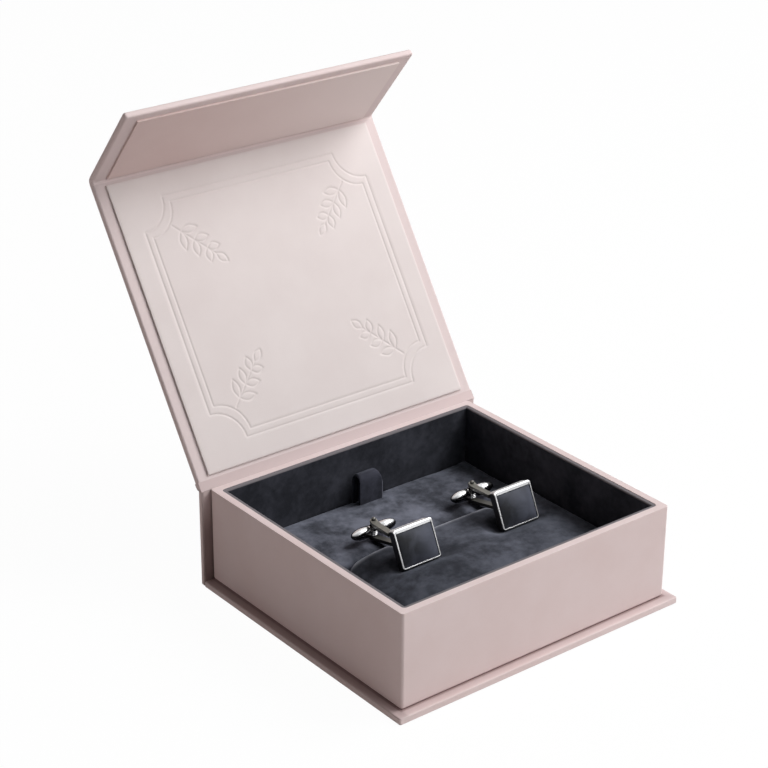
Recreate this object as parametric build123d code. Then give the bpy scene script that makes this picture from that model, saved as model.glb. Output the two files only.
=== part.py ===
from build123d import *
import os
from math import cos, hypot, radians, sin

# Cufflink display box: a book-style rigid box. A base board, a spine, a lid and a closing flap are
# wrapped in one cover paper. The tray on the base board is lined with velvet panels, and a lift-out
# insert in it carries two pads, a pull ribbon and a pair of cufflinks with swivel toggles.
#
# Millimetres. +X runs along the width, the front is -Y, +Z is up. The origin is the centre of the
# tray's footprint, on the underside of the base board. The lid is modelled shut and then opened.

# --- driving dimensions: tray --------------------------------------------------------------------
TRAY_WIDTH = 104.0
TRAY_DEPTH = 94.4
TRAY_HEIGHT = 31.6
TRAY_BOARD = 2.0
TRAY_FLOOR = 1.2
PAPER = 0.2
RIM_TURN_IN = 9.0
LINING = 1.3
LINING_DROP = 0.5

# --- driving dimensions: case (base, spine, lid and flap) ----------------------------------------
CASE_BOARD = 1.8
SIDE_OVERHANG = 3.1
FRONT_OVERHANG = 3.3
CASE_TURN_IN = 12.0
CORNER_RADIUS = 1.2
GLUE_LINE = 0.1
SPINE_DROP = 0.2

# --- driving dimensions: lid and flap ------------------------------------------------------------
LID_OPENING = 123.4
FLAP_FOLD = 72.8
HINGE_GAP = 1.5
FOLD_GAP = 0.9
LINER = 0.7
LID_LINER_SIDE_MARGIN = 4.1
LID_LINER_HINGE_MARGIN = 1.2
FLAP_LINER_SIDE_MARGIN = 4.9
FLAP_LINER_TIP_MARGIN = 2.8
LID_LINER_FOLD_MARGIN = 1.0
FLAP_LINER_FOLD_MARGIN = 0.2
LID_CLEARANCE = 0.3
FLAP_CLEARANCE = 0.3
FLAP_FOOT_CLEARANCE = 0.3
HINGE_PAPER = 0.35
HINGE_BOW = 0.25

# --- driving dimensions: magnets -----------------------------------------------------------------
MAGNET_DIAMETER = 9.0
MAGNET_THICKNESS = 1.0
KEEPER_DIAMETER = 10.0
KEEPER_THICKNESS = 0.8
MAGNET_SPREAD = 60.0
MAGNET_DROP = 21.0

# --- driving dimensions: insert ------------------------------------------------------------------
INSERT_CLEARANCE = 0.35
INSERT_SEAT = 0.1
INSERT_CARD = 1.2
REAR_PAD_HEIGHT = 10.3
CUSHION_HEIGHT = 11.6
CUSHION_LENGTH = 78.5
CUSHION_DEPTH = 53.4
CUSHION_CORNER = 6.0
PAD_EDGE = 1.6
PAD_CREASE = 0.3
RIBBON_WIDTH = 9.2
RIBBON_THICKNESS = 0.8
RIBBON_LOOP = 5.0
RIBBON_HEIGHT = 11.2
RIBBON_OFFSET = 3.5
RIBBON_SETBACK = 3.6
RIBBON_SLIT = 0.2

# --- driving dimensions: cufflinks ---------------------------------------------------------------
CUFFLINK_LEFT_INSET = 18.65
CUFFLINK_RIGHT_INSET = 19.65
CUFFLINK_SETBACK = 15.2
FACE_WIDTH = 15.2
FACE_HEIGHT = 12.8
FACE_LEAN = 25.0
FACE_CORNER = 1.0
BEZEL_DEPTH = 3.3
BEZEL_FRAME = 1.1
INLAY_DEPTH = 1.9
INLAY_CROWN = 0.4
REST_GAP = 0.3
STEM_REACH = 21.7
STEM_DROP = 4.4
ARM_WIDTH = 2.4
ARM_THICKNESS = 1.2
ARM_SPACING = 4.2
ARM_EYE_RADIUS = 1.3
ARM_FLAT = 1.8
ARM_INSET = 1.3
PIN_RADIUS = 0.5
PIN_CLEARANCE = 0.05
PIN_HEAD_RADIUS = 0.7
PIN_TAIL = 0.3
TOGGLE_LENGTH = 17.4
TOGGLE_RADIUS = 1.9
TOGGLE_THROAT = 4.2
TOGGLE_BODY = 2.4
TONGUE_LIFT = 0.1
TONGUE_WIDTH = 2.4
TONGUE_THICKNESS = 1.3
TONGUE_EYE_RADIUS = 1.5
SPRING_RADIUS = 1.1
SPRING_WIRE = 0.45
SPRING_TURNS = 3.0

# --- levels and lines worked out from the dimensions ---------------------------------------------
CASE_THICKNESS = CASE_BOARD + 2 * PAPER
CASE_WIDTH = TRAY_WIDTH + 2 * SIDE_OVERHANG
RIM_Z = CASE_THICKNESS + TRAY_HEIGHT
WALL_Z = (CASE_THICKNESS, RIM_Z - PAPER)
FLOOR_Z = CASE_THICKNESS + TRAY_FLOOR
BASE_FRONT_Y = -TRAY_DEPTH / 2 - FRONT_OVERHANG
SPINE_FRONT_Y = TRAY_DEPTH / 2 + GLUE_LINE
SPINE_BACK_Y = SPINE_FRONT_Y + CASE_THICKNESS
SPINE_TOP_Z = RIM_Z - SPINE_DROP

BOARD_X = TRAY_WIDTH / 2 - PAPER
BOARD_Y = TRAY_DEPTH / 2 - PAPER
SKIN_X = BOARD_X - TRAY_BOARD - PAPER
SKIN_Y = BOARD_Y - TRAY_BOARD - PAPER
WELL_X = SKIN_X - LINING
WELL_Y = SKIN_Y - LINING

HINGE_Y = (SPINE_FRONT_Y + SPINE_BACK_Y) / 2
HINGE_Z = RIM_Z + LID_CLEARANCE + LINER
FOLD_Y = BASE_FRONT_Y - FLAP_CLEARANCE - LINER
LID_BACK_Y = HINGE_Y - HINGE_GAP
LID_FRONT_Y = FOLD_Y + FOLD_GAP
FLAP_ROOT_Y = FOLD_Y - FOLD_GAP
FLAP_TIP_Y = FOLD_Y - (HINGE_Z - FLAP_FOOT_CLEARANCE)

INSERT_X = WELL_X - INSERT_CLEARANCE
INSERT_Y = WELL_Y - INSERT_CLEARANCE
CARD_Z = FLOOR_Z + INSERT_SEAT
PAD_Z = CARD_Z + INSERT_CARD
REAR_PAD_TOP = PAD_Z + REAR_PAD_HEIGHT
CUSHION_TOP = PAD_Z + CUSHION_HEIGHT
CUSHION_BACK_Y = CUSHION_DEPTH - INSERT_Y
CUSHION_LEFT_X = INSERT_X - CUSHION_LENGTH
RIBBON_Y = INSERT_Y - RIBBON_SETBACK

CUFFLINK_X = {"left": CUSHION_LEFT_X + CUFFLINK_LEFT_INSET, "right": INSERT_X - CUFFLINK_RIGHT_INSET}
FACE_Y = CUSHION_BACK_Y - CUFFLINK_SETBACK
FACE_Z = (
    CUSHION_TOP
    + REST_GAP
    + FACE_HEIGHT / 2 * cos(radians(FACE_LEAN))
    + BEZEL_DEPTH * sin(radians(FACE_LEAN))
)
PIVOT_Y = FACE_Y + STEM_REACH
PIVOT_Z = FACE_Z - STEM_DROP
EYE_OFFSET = (ARM_SPACING + ARM_THICKNESS) / 2

LID_HINGE = Axis((0, HINGE_Y, HINGE_Z), (-1, 0, 0))
FLAP_HINGE = Axis((0, FOLD_Y, HINGE_Z), (1, 0, 0))


# --- helpers -------------------------------------------------------------------------------------
def block(x, y, z):
    """A box between the (low, high) pairs x, y and z."""
    size = (x[1] - x[0], y[1] - y[0], z[1] - z[0])
    return Pos(x[0], y[0], z[0]) * Box(*size, align=(Align.MIN, Align.MIN, Align.MIN))


def across(half):
    """The (low, high) pair of a span centred on zero."""
    return (-half, half)


def rounded_front(shape, front_y, radius):
    """The shape with the upright edges of its front face rounded."""
    edges = [e for e in shape.edges().filter_by(Axis.Z) if abs(e.center().Y - front_y) < PAPER / 2]
    return fillet(edges, radius)


def soft_top(shape, top_z, radius):
    """The shape with the rim of its top face rounded."""
    edges = [e for e in shape.edges() if abs(e.bounding_box().min.Z - top_z) < PAPER / 2]
    return fillet(edges, radius)


def turned(point, centre, angle):
    """The (y, z) point turned about a centre, from +Y towards +Z."""
    dy, dz = point[0] - centre[0], point[1] - centre[1]
    c, s = cos(radians(angle)), sin(radians(angle))
    return (centre[0] + dy * c - dz * s, centre[1] + dy * s + dz * c)


def opened(shape):
    """A lid piece modelled shut, turned to where the open lid stands."""
    return shape.rotate(LID_HINGE, LID_OPENING)


def opened_point(point):
    """A (y, z) point of the shut lid, turned to where the open lid stands."""
    return turned(point, (HINGE_Y, HINGE_Z), -LID_OPENING)


def folded(shape):
    """A flap piece modelled flat in the shut lid's plane, folded and turned with the open lid."""
    return opened(shape.rotate(FLAP_HINGE, FLAP_FOLD))


def folded_point(point):
    """A (y, z) point of the flat flap, folded against the shut lid."""
    return turned(point, (FOLD_Y, HINGE_Z), FLAP_FOLD)


def bowed(start, end):
    """The point halfway between two (y, z) points, bowed to the front and up."""
    return ((start[0] + end[0]) / 2 - HINGE_BOW, (start[1] + end[1]) / 2 + HINGE_BOW)


def paper_strip(start, end, bow, start_inner, end_inner):
    """A hinge paper across the case's width. Its outer line bows from start over bow to end."""
    (sy, sz), (ey, ez), (by, bz) = start, end, bow
    (siy, siz), (eiy, eiz) = start_inner, end_inner
    inward_y, inward_z = siy - sy + eiy - ey, siz - sz + eiz - ez
    share = HINGE_PAPER / hypot(inward_y, inward_z)
    bow_inner = (by + inward_y * share, bz + inward_z * share)
    outline = [
        ThreePointArc(start, bow, end),
        Line(end, end_inner),
        ThreePointArc(end_inner, bow_inner, start_inner),
        Line(start_inner, start),
    ]
    return extrude(Plane.YZ * make_face(outline), CASE_WIDTH / 2, both=True)


# --- case: base and spine ------------------------------------------------------------------------
def base_board():
    board = block(
        across(CASE_WIDTH / 2 - PAPER),
        (BASE_FRONT_Y + PAPER, TRAY_DEPTH / 2),
        (PAPER, PAPER + CASE_BOARD),
    )
    return rounded_front(board, BASE_FRONT_Y + PAPER, CORNER_RADIUS - PAPER)


def base_wrap():
    """The cover paper under the base, turned in over its side and front edges."""
    sheet = block(across(CASE_WIDTH / 2), (BASE_FRONT_Y, TRAY_DEPTH / 2), (0, CASE_THICKNESS))
    bare = block(
        across(CASE_WIDTH / 2 - CASE_TURN_IN),
        (BASE_FRONT_Y + CASE_TURN_IN, TRAY_DEPTH / 2),
        (PAPER + CASE_BOARD, CASE_THICKNESS),
    )
    return rounded_front(sheet, BASE_FRONT_Y, CORNER_RADIUS) - base_board() - bare


def spine_board():
    return block(
        across(CASE_WIDTH / 2 - PAPER),
        (SPINE_FRONT_Y + PAPER, SPINE_BACK_Y - PAPER),
        (PAPER, SPINE_TOP_Z - PAPER),
    )


def spine_wrap():
    """The cover paper round the spine, turned in on the face that is glued to the tray."""
    sheet = block(across(CASE_WIDTH / 2), (SPINE_FRONT_Y, SPINE_BACK_Y), (0, SPINE_TOP_Z))
    bare = block(
        across(CASE_WIDTH / 2 - CASE_TURN_IN),
        (SPINE_FRONT_Y, SPINE_FRONT_Y + PAPER),
        (PAPER, SPINE_TOP_Z - PAPER),
    )
    return sheet - spine_board() - bare


# --- case: lid and flap --------------------------------------------------------------------------
def shut_panel(y):
    """A lid or flap board over the span y, in the shut lid's plane."""
    return block(across(CASE_WIDTH / 2 - PAPER), y, (HINGE_Z + PAPER, HINGE_Z + PAPER + CASE_BOARD))


def lid_board():
    return opened(shut_panel((LID_FRONT_Y, LID_BACK_Y)))


def lid_wrap():
    """The cover paper over the lid, turned in along its sides. It runs on at both hinges."""
    y = (LID_FRONT_Y, LID_BACK_Y)
    sheet = block(across(CASE_WIDTH / 2), y, (HINGE_Z, HINGE_Z + CASE_THICKNESS))
    bare = block(across(CASE_WIDTH / 2 - CASE_TURN_IN), y, (HINGE_Z, HINGE_Z + PAPER))
    return opened(sheet - shut_panel(y) - bare)


def lid_liner():
    """The raised card that lines the lid and comes to rest over the tray's rim."""
    return opened(
        block(
            across(CASE_WIDTH / 2 - LID_LINER_SIDE_MARGIN),
            (LID_FRONT_Y + LID_LINER_FOLD_MARGIN, LID_BACK_Y - LID_LINER_HINGE_MARGIN),
            (HINGE_Z - LINER, HINGE_Z),
        )
    )


def magnets():
    """The closing magnets, let into the flap board from its inner face."""
    disc = Cylinder(MAGNET_DIAMETER / 2, MAGNET_THICKNESS, align=(Align.CENTER, Align.CENTER, Align.MIN))
    y = FOLD_Y - MAGNET_DROP
    return [Pos(x, y, HINGE_Z + PAPER) * disc for x in (-MAGNET_SPREAD / 2, MAGNET_SPREAD / 2)]


def flat_flap_board():
    """The flap board without its magnet pockets, flat in the shut lid's plane."""
    board = shut_panel((FLAP_TIP_Y + PAPER, FLAP_ROOT_Y))
    return rounded_front(board, FLAP_TIP_Y + PAPER, CORNER_RADIUS - PAPER)


def flap_board():
    return folded(flat_flap_board() - magnets())


def flap_magnets():
    return folded(Compound(magnets()))


def flap_wrap():
    """The cover paper over the flap, turned in along its sides and its tip."""
    y = (FLAP_TIP_Y, FLAP_ROOT_Y)
    sheet = block(across(CASE_WIDTH / 2), y, (HINGE_Z, HINGE_Z + CASE_THICKNESS))
    bare = block(
        across(CASE_WIDTH / 2 - CASE_TURN_IN),
        (FLAP_TIP_Y + CASE_TURN_IN, FLAP_ROOT_Y),
        (HINGE_Z, HINGE_Z + PAPER),
    )
    return folded(rounded_front(sheet, FLAP_TIP_Y, CORNER_RADIUS) - flat_flap_board() - bare)


def flap_liner():
    """The raised card that lines the flap and comes to rest in front of the base board."""
    return folded(
        block(
            across(CASE_WIDTH / 2 - FLAP_LINER_SIDE_MARGIN),
            (FLAP_TIP_Y + FLAP_LINER_TIP_MARGIN, FLAP_ROOT_Y - FLAP_LINER_FOLD_MARGIN),
            (HINGE_Z - LINER, HINGE_Z),
        )
    )


# --- case: hinge papers --------------------------------------------------------------------------
def lid_hinge_cover():
    """The cover paper between the spine and the open lid, on the outside."""
    start = (SPINE_BACK_Y, SPINE_TOP_Z)
    start_inner = (SPINE_BACK_Y - HINGE_PAPER, SPINE_TOP_Z)
    end = opened_point((LID_BACK_Y, HINGE_Z + CASE_THICKNESS))
    end_inner = opened_point((LID_BACK_Y, HINGE_Z + CASE_THICKNESS - HINGE_PAPER))
    return paper_strip(start, end, bowed(start, end), start_inner, end_inner)


def lid_hinge_lining():
    """The lining paper between the spine and the open lid, on the inside."""
    start = (SPINE_FRONT_Y, SPINE_TOP_Z)
    start_inner = (SPINE_FRONT_Y + HINGE_PAPER, SPINE_TOP_Z)
    end = opened_point((LID_BACK_Y, HINGE_Z))
    end_inner = opened_point((LID_BACK_Y, HINGE_Z + HINGE_PAPER))
    return paper_strip(start, end, bowed(start, end), start_inner, end_inner)


def flap_hinge_cover():
    """The cover paper round the outside of the fold between the lid and the flap."""
    top_z = HINGE_Z + CASE_THICKNESS
    start, start_inner = (LID_FRONT_Y, top_z), (LID_FRONT_Y, top_z - HINGE_PAPER)
    end = folded_point((FLAP_ROOT_Y, top_z))
    end_inner = folded_point((FLAP_ROOT_Y, top_z - HINGE_PAPER))
    radius = hypot(FOLD_GAP, CASE_THICKNESS)
    bow = turned((FOLD_Y, HINGE_Z + radius), (FOLD_Y, HINGE_Z), FLAP_FOLD / 2)
    return opened(paper_strip(start, end, bow, start_inner, end_inner))


def flap_hinge_lining():
    """The lining paper in the inner crease between the lid and the flap."""
    start, start_inner = (LID_FRONT_Y, HINGE_Z), (LID_FRONT_Y, HINGE_Z + HINGE_PAPER)
    end = folded_point((FLAP_ROOT_Y, HINGE_Z))
    end_inner = folded_point((FLAP_ROOT_Y, HINGE_Z + HINGE_PAPER))
    bow = turned((FOLD_Y, HINGE_Z + HINGE_PAPER / 2), (FOLD_Y, HINGE_Z), FLAP_FOLD / 2)
    return opened(paper_strip(start, end, bow, start_inner, end_inner))


# --- tray ----------------------------------------------------------------------------------------
def tray_keepers():
    """Steel discs let into the outside of the front wall, one behind each magnet."""
    disc = Cylinder(KEEPER_DIAMETER / 2, KEEPER_THICKNESS, align=(Align.CENTER, Align.CENTER, Align.MAX))
    upright = Rot(90, 0, 0) * disc
    xs = (-MAGNET_SPREAD / 2, MAGNET_SPREAD / 2)
    return Compound([Pos(x, -BOARD_Y, HINGE_Z - MAGNET_DROP) * upright for x in xs])


def tray_front_wall():
    wall = block(across(BOARD_X), (-BOARD_Y, -BOARD_Y + TRAY_BOARD), WALL_Z)
    return wall - list(tray_keepers().solids())


def tray_back_wall():
    return block(across(BOARD_X), (BOARD_Y - TRAY_BOARD, BOARD_Y), WALL_Z)


def tray_side_wall(side):
    x = sorted((side * BOARD_X, side * (BOARD_X - TRAY_BOARD)))
    return block(x, across(BOARD_Y - TRAY_BOARD), WALL_Z)


def tray_floor():
    return block(across(BOARD_X - TRAY_BOARD), across(BOARD_Y - TRAY_BOARD), (CASE_THICKNESS, FLOOR_Z))


def tray_wrap():
    """The cover paper up the outside of the tray, over its rim and down behind the linings."""
    outside = block(across(TRAY_WIDTH / 2), across(TRAY_DEPTH / 2), (CASE_THICKNESS, RIM_Z))
    walls = block(across(BOARD_X), across(BOARD_Y), WALL_Z)
    turn_in_z = (RIM_Z - RIM_TURN_IN, RIM_Z - PAPER)
    turn_in = block(across(BOARD_X - TRAY_BOARD), across(BOARD_Y - TRAY_BOARD), turn_in_z)
    mouth = block(across(SKIN_X), across(SKIN_Y), (turn_in_z[0], RIM_Z))
    return outside - walls + turn_in - mouth


def lining_across(side):
    """The velvet panel inside the front (-1) or the back (1) wall."""
    y = sorted((side * SKIN_Y, side * WELL_Y))
    return block(across(SKIN_X), y, (FLOOR_Z, RIM_Z - LINING_DROP))


def lining_along(side):
    """The velvet panel inside the left (-1) or the right (1) wall."""
    x = sorted((side * SKIN_X, side * WELL_X))
    return block(x, across(WELL_Y), (FLOOR_Z, RIM_Z - LINING_DROP))


# --- insert --------------------------------------------------------------------------------------
def cushion_body(grow, top_z):
    """The front cushion's footprint, grown to the left and the back, from the card to top_z."""
    left_x, back_y = CUSHION_LEFT_X - grow, CUSHION_BACK_Y + grow
    body = block((left_x, INSERT_X), (-INSERT_Y, back_y), (PAD_Z, top_z))
    corner = body.edges().filter_by(Axis.Z).sort_by(lambda e: e.center().X - e.center().Y)[0]
    return fillet(corner, CUSHION_CORNER + grow)


def insert_card():
    return block(across(INSERT_X), across(INSERT_Y), (CARD_Z, PAD_Z))


def front_cushion():
    return soft_top(cushion_body(0, CUSHION_TOP), CUSHION_TOP, PAD_EDGE)


def rear_pad():
    """The lower pad behind and to the left of the cushion, with the pull ribbon's slit."""
    pad = block(across(INSERT_X), across(INSERT_Y), (PAD_Z, REAR_PAD_TOP))
    slit = block(
        across(RIBBON_WIDTH / 2 + RIBBON_SLIT),
        across(RIBBON_LOOP / 2 + RIBBON_SLIT),
        (PAD_Z, REAR_PAD_TOP),
    )
    pad = soft_top(pad, REAR_PAD_TOP, PAD_EDGE)
    return pad - cushion_body(PAD_CREASE, REAR_PAD_TOP) - Pos(RIBBON_OFFSET, RIBBON_Y, 0) * slit


def pull_ribbon():
    """A ribbon folded double over a loop, both ends glued down on the insert's card."""
    top_z = REAR_PAD_TOP + RIBBON_HEIGHT
    outer, inner = RIBBON_LOOP / 2, RIBBON_LOOP / 2 - RIBBON_THICKNESS
    arch_z = top_z - outer
    outline = [
        Line((-outer, PAD_Z), (-outer, arch_z)),
        ThreePointArc((-outer, arch_z), (0, top_z), (outer, arch_z)),
        Line((outer, arch_z), (outer, PAD_Z)),
        Line((outer, PAD_Z), (inner, PAD_Z)),
        Line((inner, PAD_Z), (inner, arch_z)),
        ThreePointArc((inner, arch_z), (0, arch_z + inner), (-inner, arch_z)),
        Line((-inner, arch_z), (-inner, PAD_Z)),
        Line((-inner, PAD_Z), (-outer, PAD_Z)),
    ]
    loop = extrude(Plane.YZ * make_face(outline), RIBBON_WIDTH / 2, both=True)
    return Pos(RIBBON_OFFSET, RIBBON_Y, 0) * loop


# --- cufflinks -----------------------------------------------------------------------------------
def face_plane(x):
    """The plane of a cufflink's face, centred on it, with its normal to the front and up."""
    lean = radians(FACE_LEAN)
    return Plane(origin=(x, FACE_Y, FACE_Z), x_dir=(1, 0, 0), z_dir=(0, -cos(lean), sin(lean)))


def pocket_face():
    """The bezel's opening, which the inlay fills."""
    frame = 2 * BEZEL_FRAME
    return RectangleRounded(FACE_WIDTH - frame, FACE_HEIGHT - frame, FACE_CORNER / 2)


def bezel(x):
    rim = extrude(RectangleRounded(FACE_WIDTH, FACE_HEIGHT, FACE_CORNER), -BEZEL_DEPTH)
    return face_plane(x) * (rim - extrude(pocket_face(), -INLAY_DEPTH))


def inlay(x):
    """The domed inlay, which fills the bezel's pocket and stands a little proud of it."""
    body = Pos(0, 0, -INLAY_DEPTH) * extrude(pocket_face(), INLAY_DEPTH + INLAY_CROWN)
    return face_plane(x) * fillet(body.faces().sort_by(Axis.Z)[-1].edges(), INLAY_CROWN)


def arm(x, side):
    """The upper (1) or lower (-1) arm, from the pivot's eye to a corner of the bezel's back.

    The two arms reach opposite corners, so that the toggle can turn between them.
    """
    seat = face_plane(x).from_local_coords(
        (-side * (FACE_WIDTH / 2 - ARM_INSET), side * (FACE_HEIGHT / 2 - ARM_INSET), -BEZEL_DEPTH)
    )
    reach = hypot(seat.X - x, seat.Y - PIVOT_Y)
    heading = Vector(seat.X - x, seat.Y - PIVOT_Y, 0) / reach
    eye_z = PIVOT_Z + side * EYE_OFFSET
    past = (reach + BEZEL_DEPTH - ARM_FLAT) / (reach - ARM_FLAT)
    end_r, end_z = ARM_FLAT + (reach - ARM_FLAT) * past, eye_z + (seat.Z - eye_z) * past
    half = ARM_THICKNESS / 2
    side_view = Polygon(
        (0, eye_z - half),
        (ARM_FLAT, eye_z - half),
        (end_r, end_z - half),
        (end_r, end_z + half),
        (ARM_FLAT, eye_z + half),
        (0, eye_z + half),
        align=None,
    )
    upright = Plane(origin=(x, PIVOT_Y, 0), x_dir=heading, z_dir=heading.cross(Vector(0, 0, 1)))
    bar = extrude(upright * side_view, ARM_WIDTH / 2, both=True)
    eye = Pos(x, PIVOT_Y, eye_z) * Cylinder(ARM_EYE_RADIUS, ARM_THICKNESS)
    hole = Pos(x, PIVOT_Y, eye_z) * Cylinder(PIN_RADIUS, 2 * ARM_THICKNESS)
    ahead = face_plane(x).offset(-BEZEL_DEPTH) * extrude(Rectangle(2 * reach, 2 * reach), reach)
    return bar + eye - hole - ahead


def pivot_pin(x):
    """The pin through both eyes and the toggle, with a ball head on top and a peened tail."""
    half = EYE_OFFSET + ARM_THICKNESS / 2
    pin = Cylinder(PIN_RADIUS, 2 * half)
    ball = Pos(0, 0, half + PIN_HEAD_RADIUS / 2) * Sphere(PIN_HEAD_RADIUS)
    below = block(across(2 * PIN_HEAD_RADIUS), across(2 * PIN_HEAD_RADIUS), across(half))
    tail = Pos(0, 0, -half - PIN_TAIL / 2) * Cylinder(PIN_HEAD_RADIUS, PIN_TAIL)
    return Pos(x, PIVOT_Y, PIVOT_Z) * (pin + (ball - below) + tail)


def spring(x):
    """The coil round the pin, between the lower eye and the toggle's tongue."""
    low_z = -ARM_SPACING / 2 + SPRING_WIRE / 2
    rise = ARM_SPACING / 2 + TONGUE_LIFT - PIN_CLEARANCE - SPRING_WIRE
    coil = Helix(pitch=rise / SPRING_TURNS, height=rise, radius=SPRING_RADIUS)
    section = Plane(origin=coil @ 0, z_dir=coil % 0) * Circle(SPRING_WIRE / 2)
    return Pos(x, PIVOT_Y, PIVOT_Z + low_z) * sweep(section, path=coil, is_frenet=True)


def toggle(x):
    """Two bullet halves on a tongue with the pivot's eye, clear of the spring below it."""
    throat = TOGGLE_THROAT / 2
    shoulder = throat + TOGGLE_BODY
    nose = EllipticalCenterArc(
        (shoulder, 0), TOGGLE_LENGTH / 2 - shoulder, TOGGLE_RADIUS, start_angle=0, arc_size=90
    )
    outline = [nose, Polyline(nose @ 1, (throat, TOGGLE_RADIUS), (throat, 0), nose @ 0)]
    bullet = revolve(make_face(outline), Axis.X)
    tongue_z = (TONGUE_LIFT, TONGUE_LIFT + TONGUE_THICKNESS)
    tongue = block(across(throat + TONGUE_WIDTH / 2), across(TONGUE_WIDTH / 2), tongue_z)
    middle_z = sum(tongue_z) / 2
    eye = Pos(0, 0, middle_z) * Cylinder(TONGUE_EYE_RADIUS, TONGUE_THICKNESS)
    hole = Pos(0, 0, middle_z) * Cylinder(PIN_RADIUS + PIN_CLEARANCE, 2 * TONGUE_THICKNESS)
    body = bullet + mirror(bullet, about=Plane.YZ) + tongue + eye - hole
    return Pos(x, PIVOT_Y, PIVOT_Z) * body


def cufflink(name, x):
    """The pieces of one cufflink by node name."""
    return {
        f"cufflink_{name}_bezel": bezel(x),
        f"cufflink_{name}_inlay": inlay(x),
        f"cufflink_{name}_upper_arm": arm(x, 1),
        f"cufflink_{name}_lower_arm": arm(x, -1),
        f"cufflink_{name}_pivot_pin": pivot_pin(x),
        f"cufflink_{name}_spring": spring(x),
        f"cufflink_{name}_toggle": toggle(x),
    }


# --- the whole box -------------------------------------------------------------------------------
def pieces():
    """Every piece of the box by node name."""
    box = {
        "base_board": base_board(),
        "base_wrap": base_wrap(),
        "spine_board": spine_board(),
        "spine_wrap": spine_wrap(),
        "lid_board": lid_board(),
        "lid_wrap": lid_wrap(),
        "lid_liner": lid_liner(),
        "flap_board": flap_board(),
        "flap_wrap": flap_wrap(),
        "flap_liner": flap_liner(),
        "flap_magnets": flap_magnets(),
        "lid_hinge_cover": lid_hinge_cover(),
        "lid_hinge_lining": lid_hinge_lining(),
        "flap_hinge_cover": flap_hinge_cover(),
        "flap_hinge_lining": flap_hinge_lining(),
        "tray_front_wall": tray_front_wall(),
        "tray_back_wall": tray_back_wall(),
        "tray_left_wall": tray_side_wall(-1),
        "tray_right_wall": tray_side_wall(1),
        "tray_floor": tray_floor(),
        "tray_wrap": tray_wrap(),
        "tray_keepers": tray_keepers(),
        "lining_front": lining_across(-1),
        "lining_back": lining_across(1),
        "lining_left": lining_along(-1),
        "lining_right": lining_along(1),
        "insert_card": insert_card(),
        "rear_pad": rear_pad(),
        "front_cushion": front_cushion(),
        "pull_ribbon": pull_ribbon(),
    }
    for name, x in CUFFLINK_X.items():
        box.update(cufflink(name, x))
    return box


os.makedirs("parts", exist_ok=True)
for node, shape in pieces().items():
    export_step(shape, f"parts/{node}.step")
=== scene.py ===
"""The dressed cufflink display box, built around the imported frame.

Sizes in this file are millimetres in the frame's axes: +X runs along the width, the front is -Y and
+Z is up. A mesh is scaled to metres when it becomes a piece. Only the lamps and the floor are given
in metres. The colours of a finish are display colours of 0 to 255, and those of a lamp go from 0 to 1.
"""

from __future__ import annotations

import logging
from collections.abc import Callable, Iterable
from dataclasses import dataclass
from enum import Enum
from functools import cache
from math import atan2, cos, hypot, pi, radians, sin
from typing import ClassVar

import bmesh
import bpy
import numpy as np
from bmesh.types import BMEdge, BMFace, BMVert
from mathutils import Matrix, Vector
from mathutils.geometry import interpolate_bezier


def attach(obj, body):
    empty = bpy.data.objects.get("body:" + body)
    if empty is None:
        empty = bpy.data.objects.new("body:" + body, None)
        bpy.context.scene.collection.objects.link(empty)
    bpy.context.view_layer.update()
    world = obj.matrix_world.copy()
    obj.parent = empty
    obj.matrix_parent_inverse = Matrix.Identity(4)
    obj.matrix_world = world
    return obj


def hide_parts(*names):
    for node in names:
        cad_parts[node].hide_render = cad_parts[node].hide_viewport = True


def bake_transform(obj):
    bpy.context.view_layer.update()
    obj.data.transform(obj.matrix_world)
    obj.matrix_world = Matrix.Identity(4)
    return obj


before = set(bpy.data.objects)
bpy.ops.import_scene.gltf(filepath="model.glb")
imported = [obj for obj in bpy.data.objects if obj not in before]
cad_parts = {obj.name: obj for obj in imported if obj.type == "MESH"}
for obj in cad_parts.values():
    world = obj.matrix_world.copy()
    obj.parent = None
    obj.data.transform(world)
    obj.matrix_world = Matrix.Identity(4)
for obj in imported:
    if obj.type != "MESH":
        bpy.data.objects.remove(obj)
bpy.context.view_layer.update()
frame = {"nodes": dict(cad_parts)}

LOG = logging.getLogger("cufflink_box")
MM = 0.001
TOUCH = 1e-4  # two places nearer than this are the same
TRAY_HALF = (52.0, 47.2)
LINING_REACH = (48.2, 43.4)
CUFFLINK_FACE = {"left": -11.9, "right": 28.3}
ROUND_STEPS = 40  # faces round a turned part
WHITE = (1.0, 1.0, 1.0, 1.0)

Pair = tuple[float, float]
Triple = tuple[float, float, float]


# --- named options ---------------------------------------------------------------------------------
class Body(Enum):
    """The moving bodies of the frame."""

    CASE = "case"
    LID = "lid"
    FLAP = "flap"
    INSERT = "insert"


class Slot(Enum):
    """The record's material slots, which the finishes name."""

    COVER_PAPER = "cover_paper"
    LINER_CARD = "liner_card"
    VELVET = "velvet"
    CHROME = "chrome_plate"
    INLAY = "inlay_fabric"


class Side(Enum):
    """The two cufflinks of the pair."""

    LEFT = "left"
    RIGHT = "right"


# --- shader maths ----------------------------------------------------------------------------------
def linear(red: float, green: float, blue: float) -> tuple[float, float, float, float]:
    """Turns a display colour of 0 to 255 into the linear colour that a shader takes.

    Args:
        red: The red part.
        green: The green part.
        blue: The blue part.

    Returns:
        The linear colour with full alpha.
    """
    parts = [part / 255 for part in (red, green, blue)]
    parts = [part / 12.92 if part <= 0.04045 else ((part + 0.055) / 1.055) ** 2.4 for part in parts]
    return (*parts, 1.0)


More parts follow.
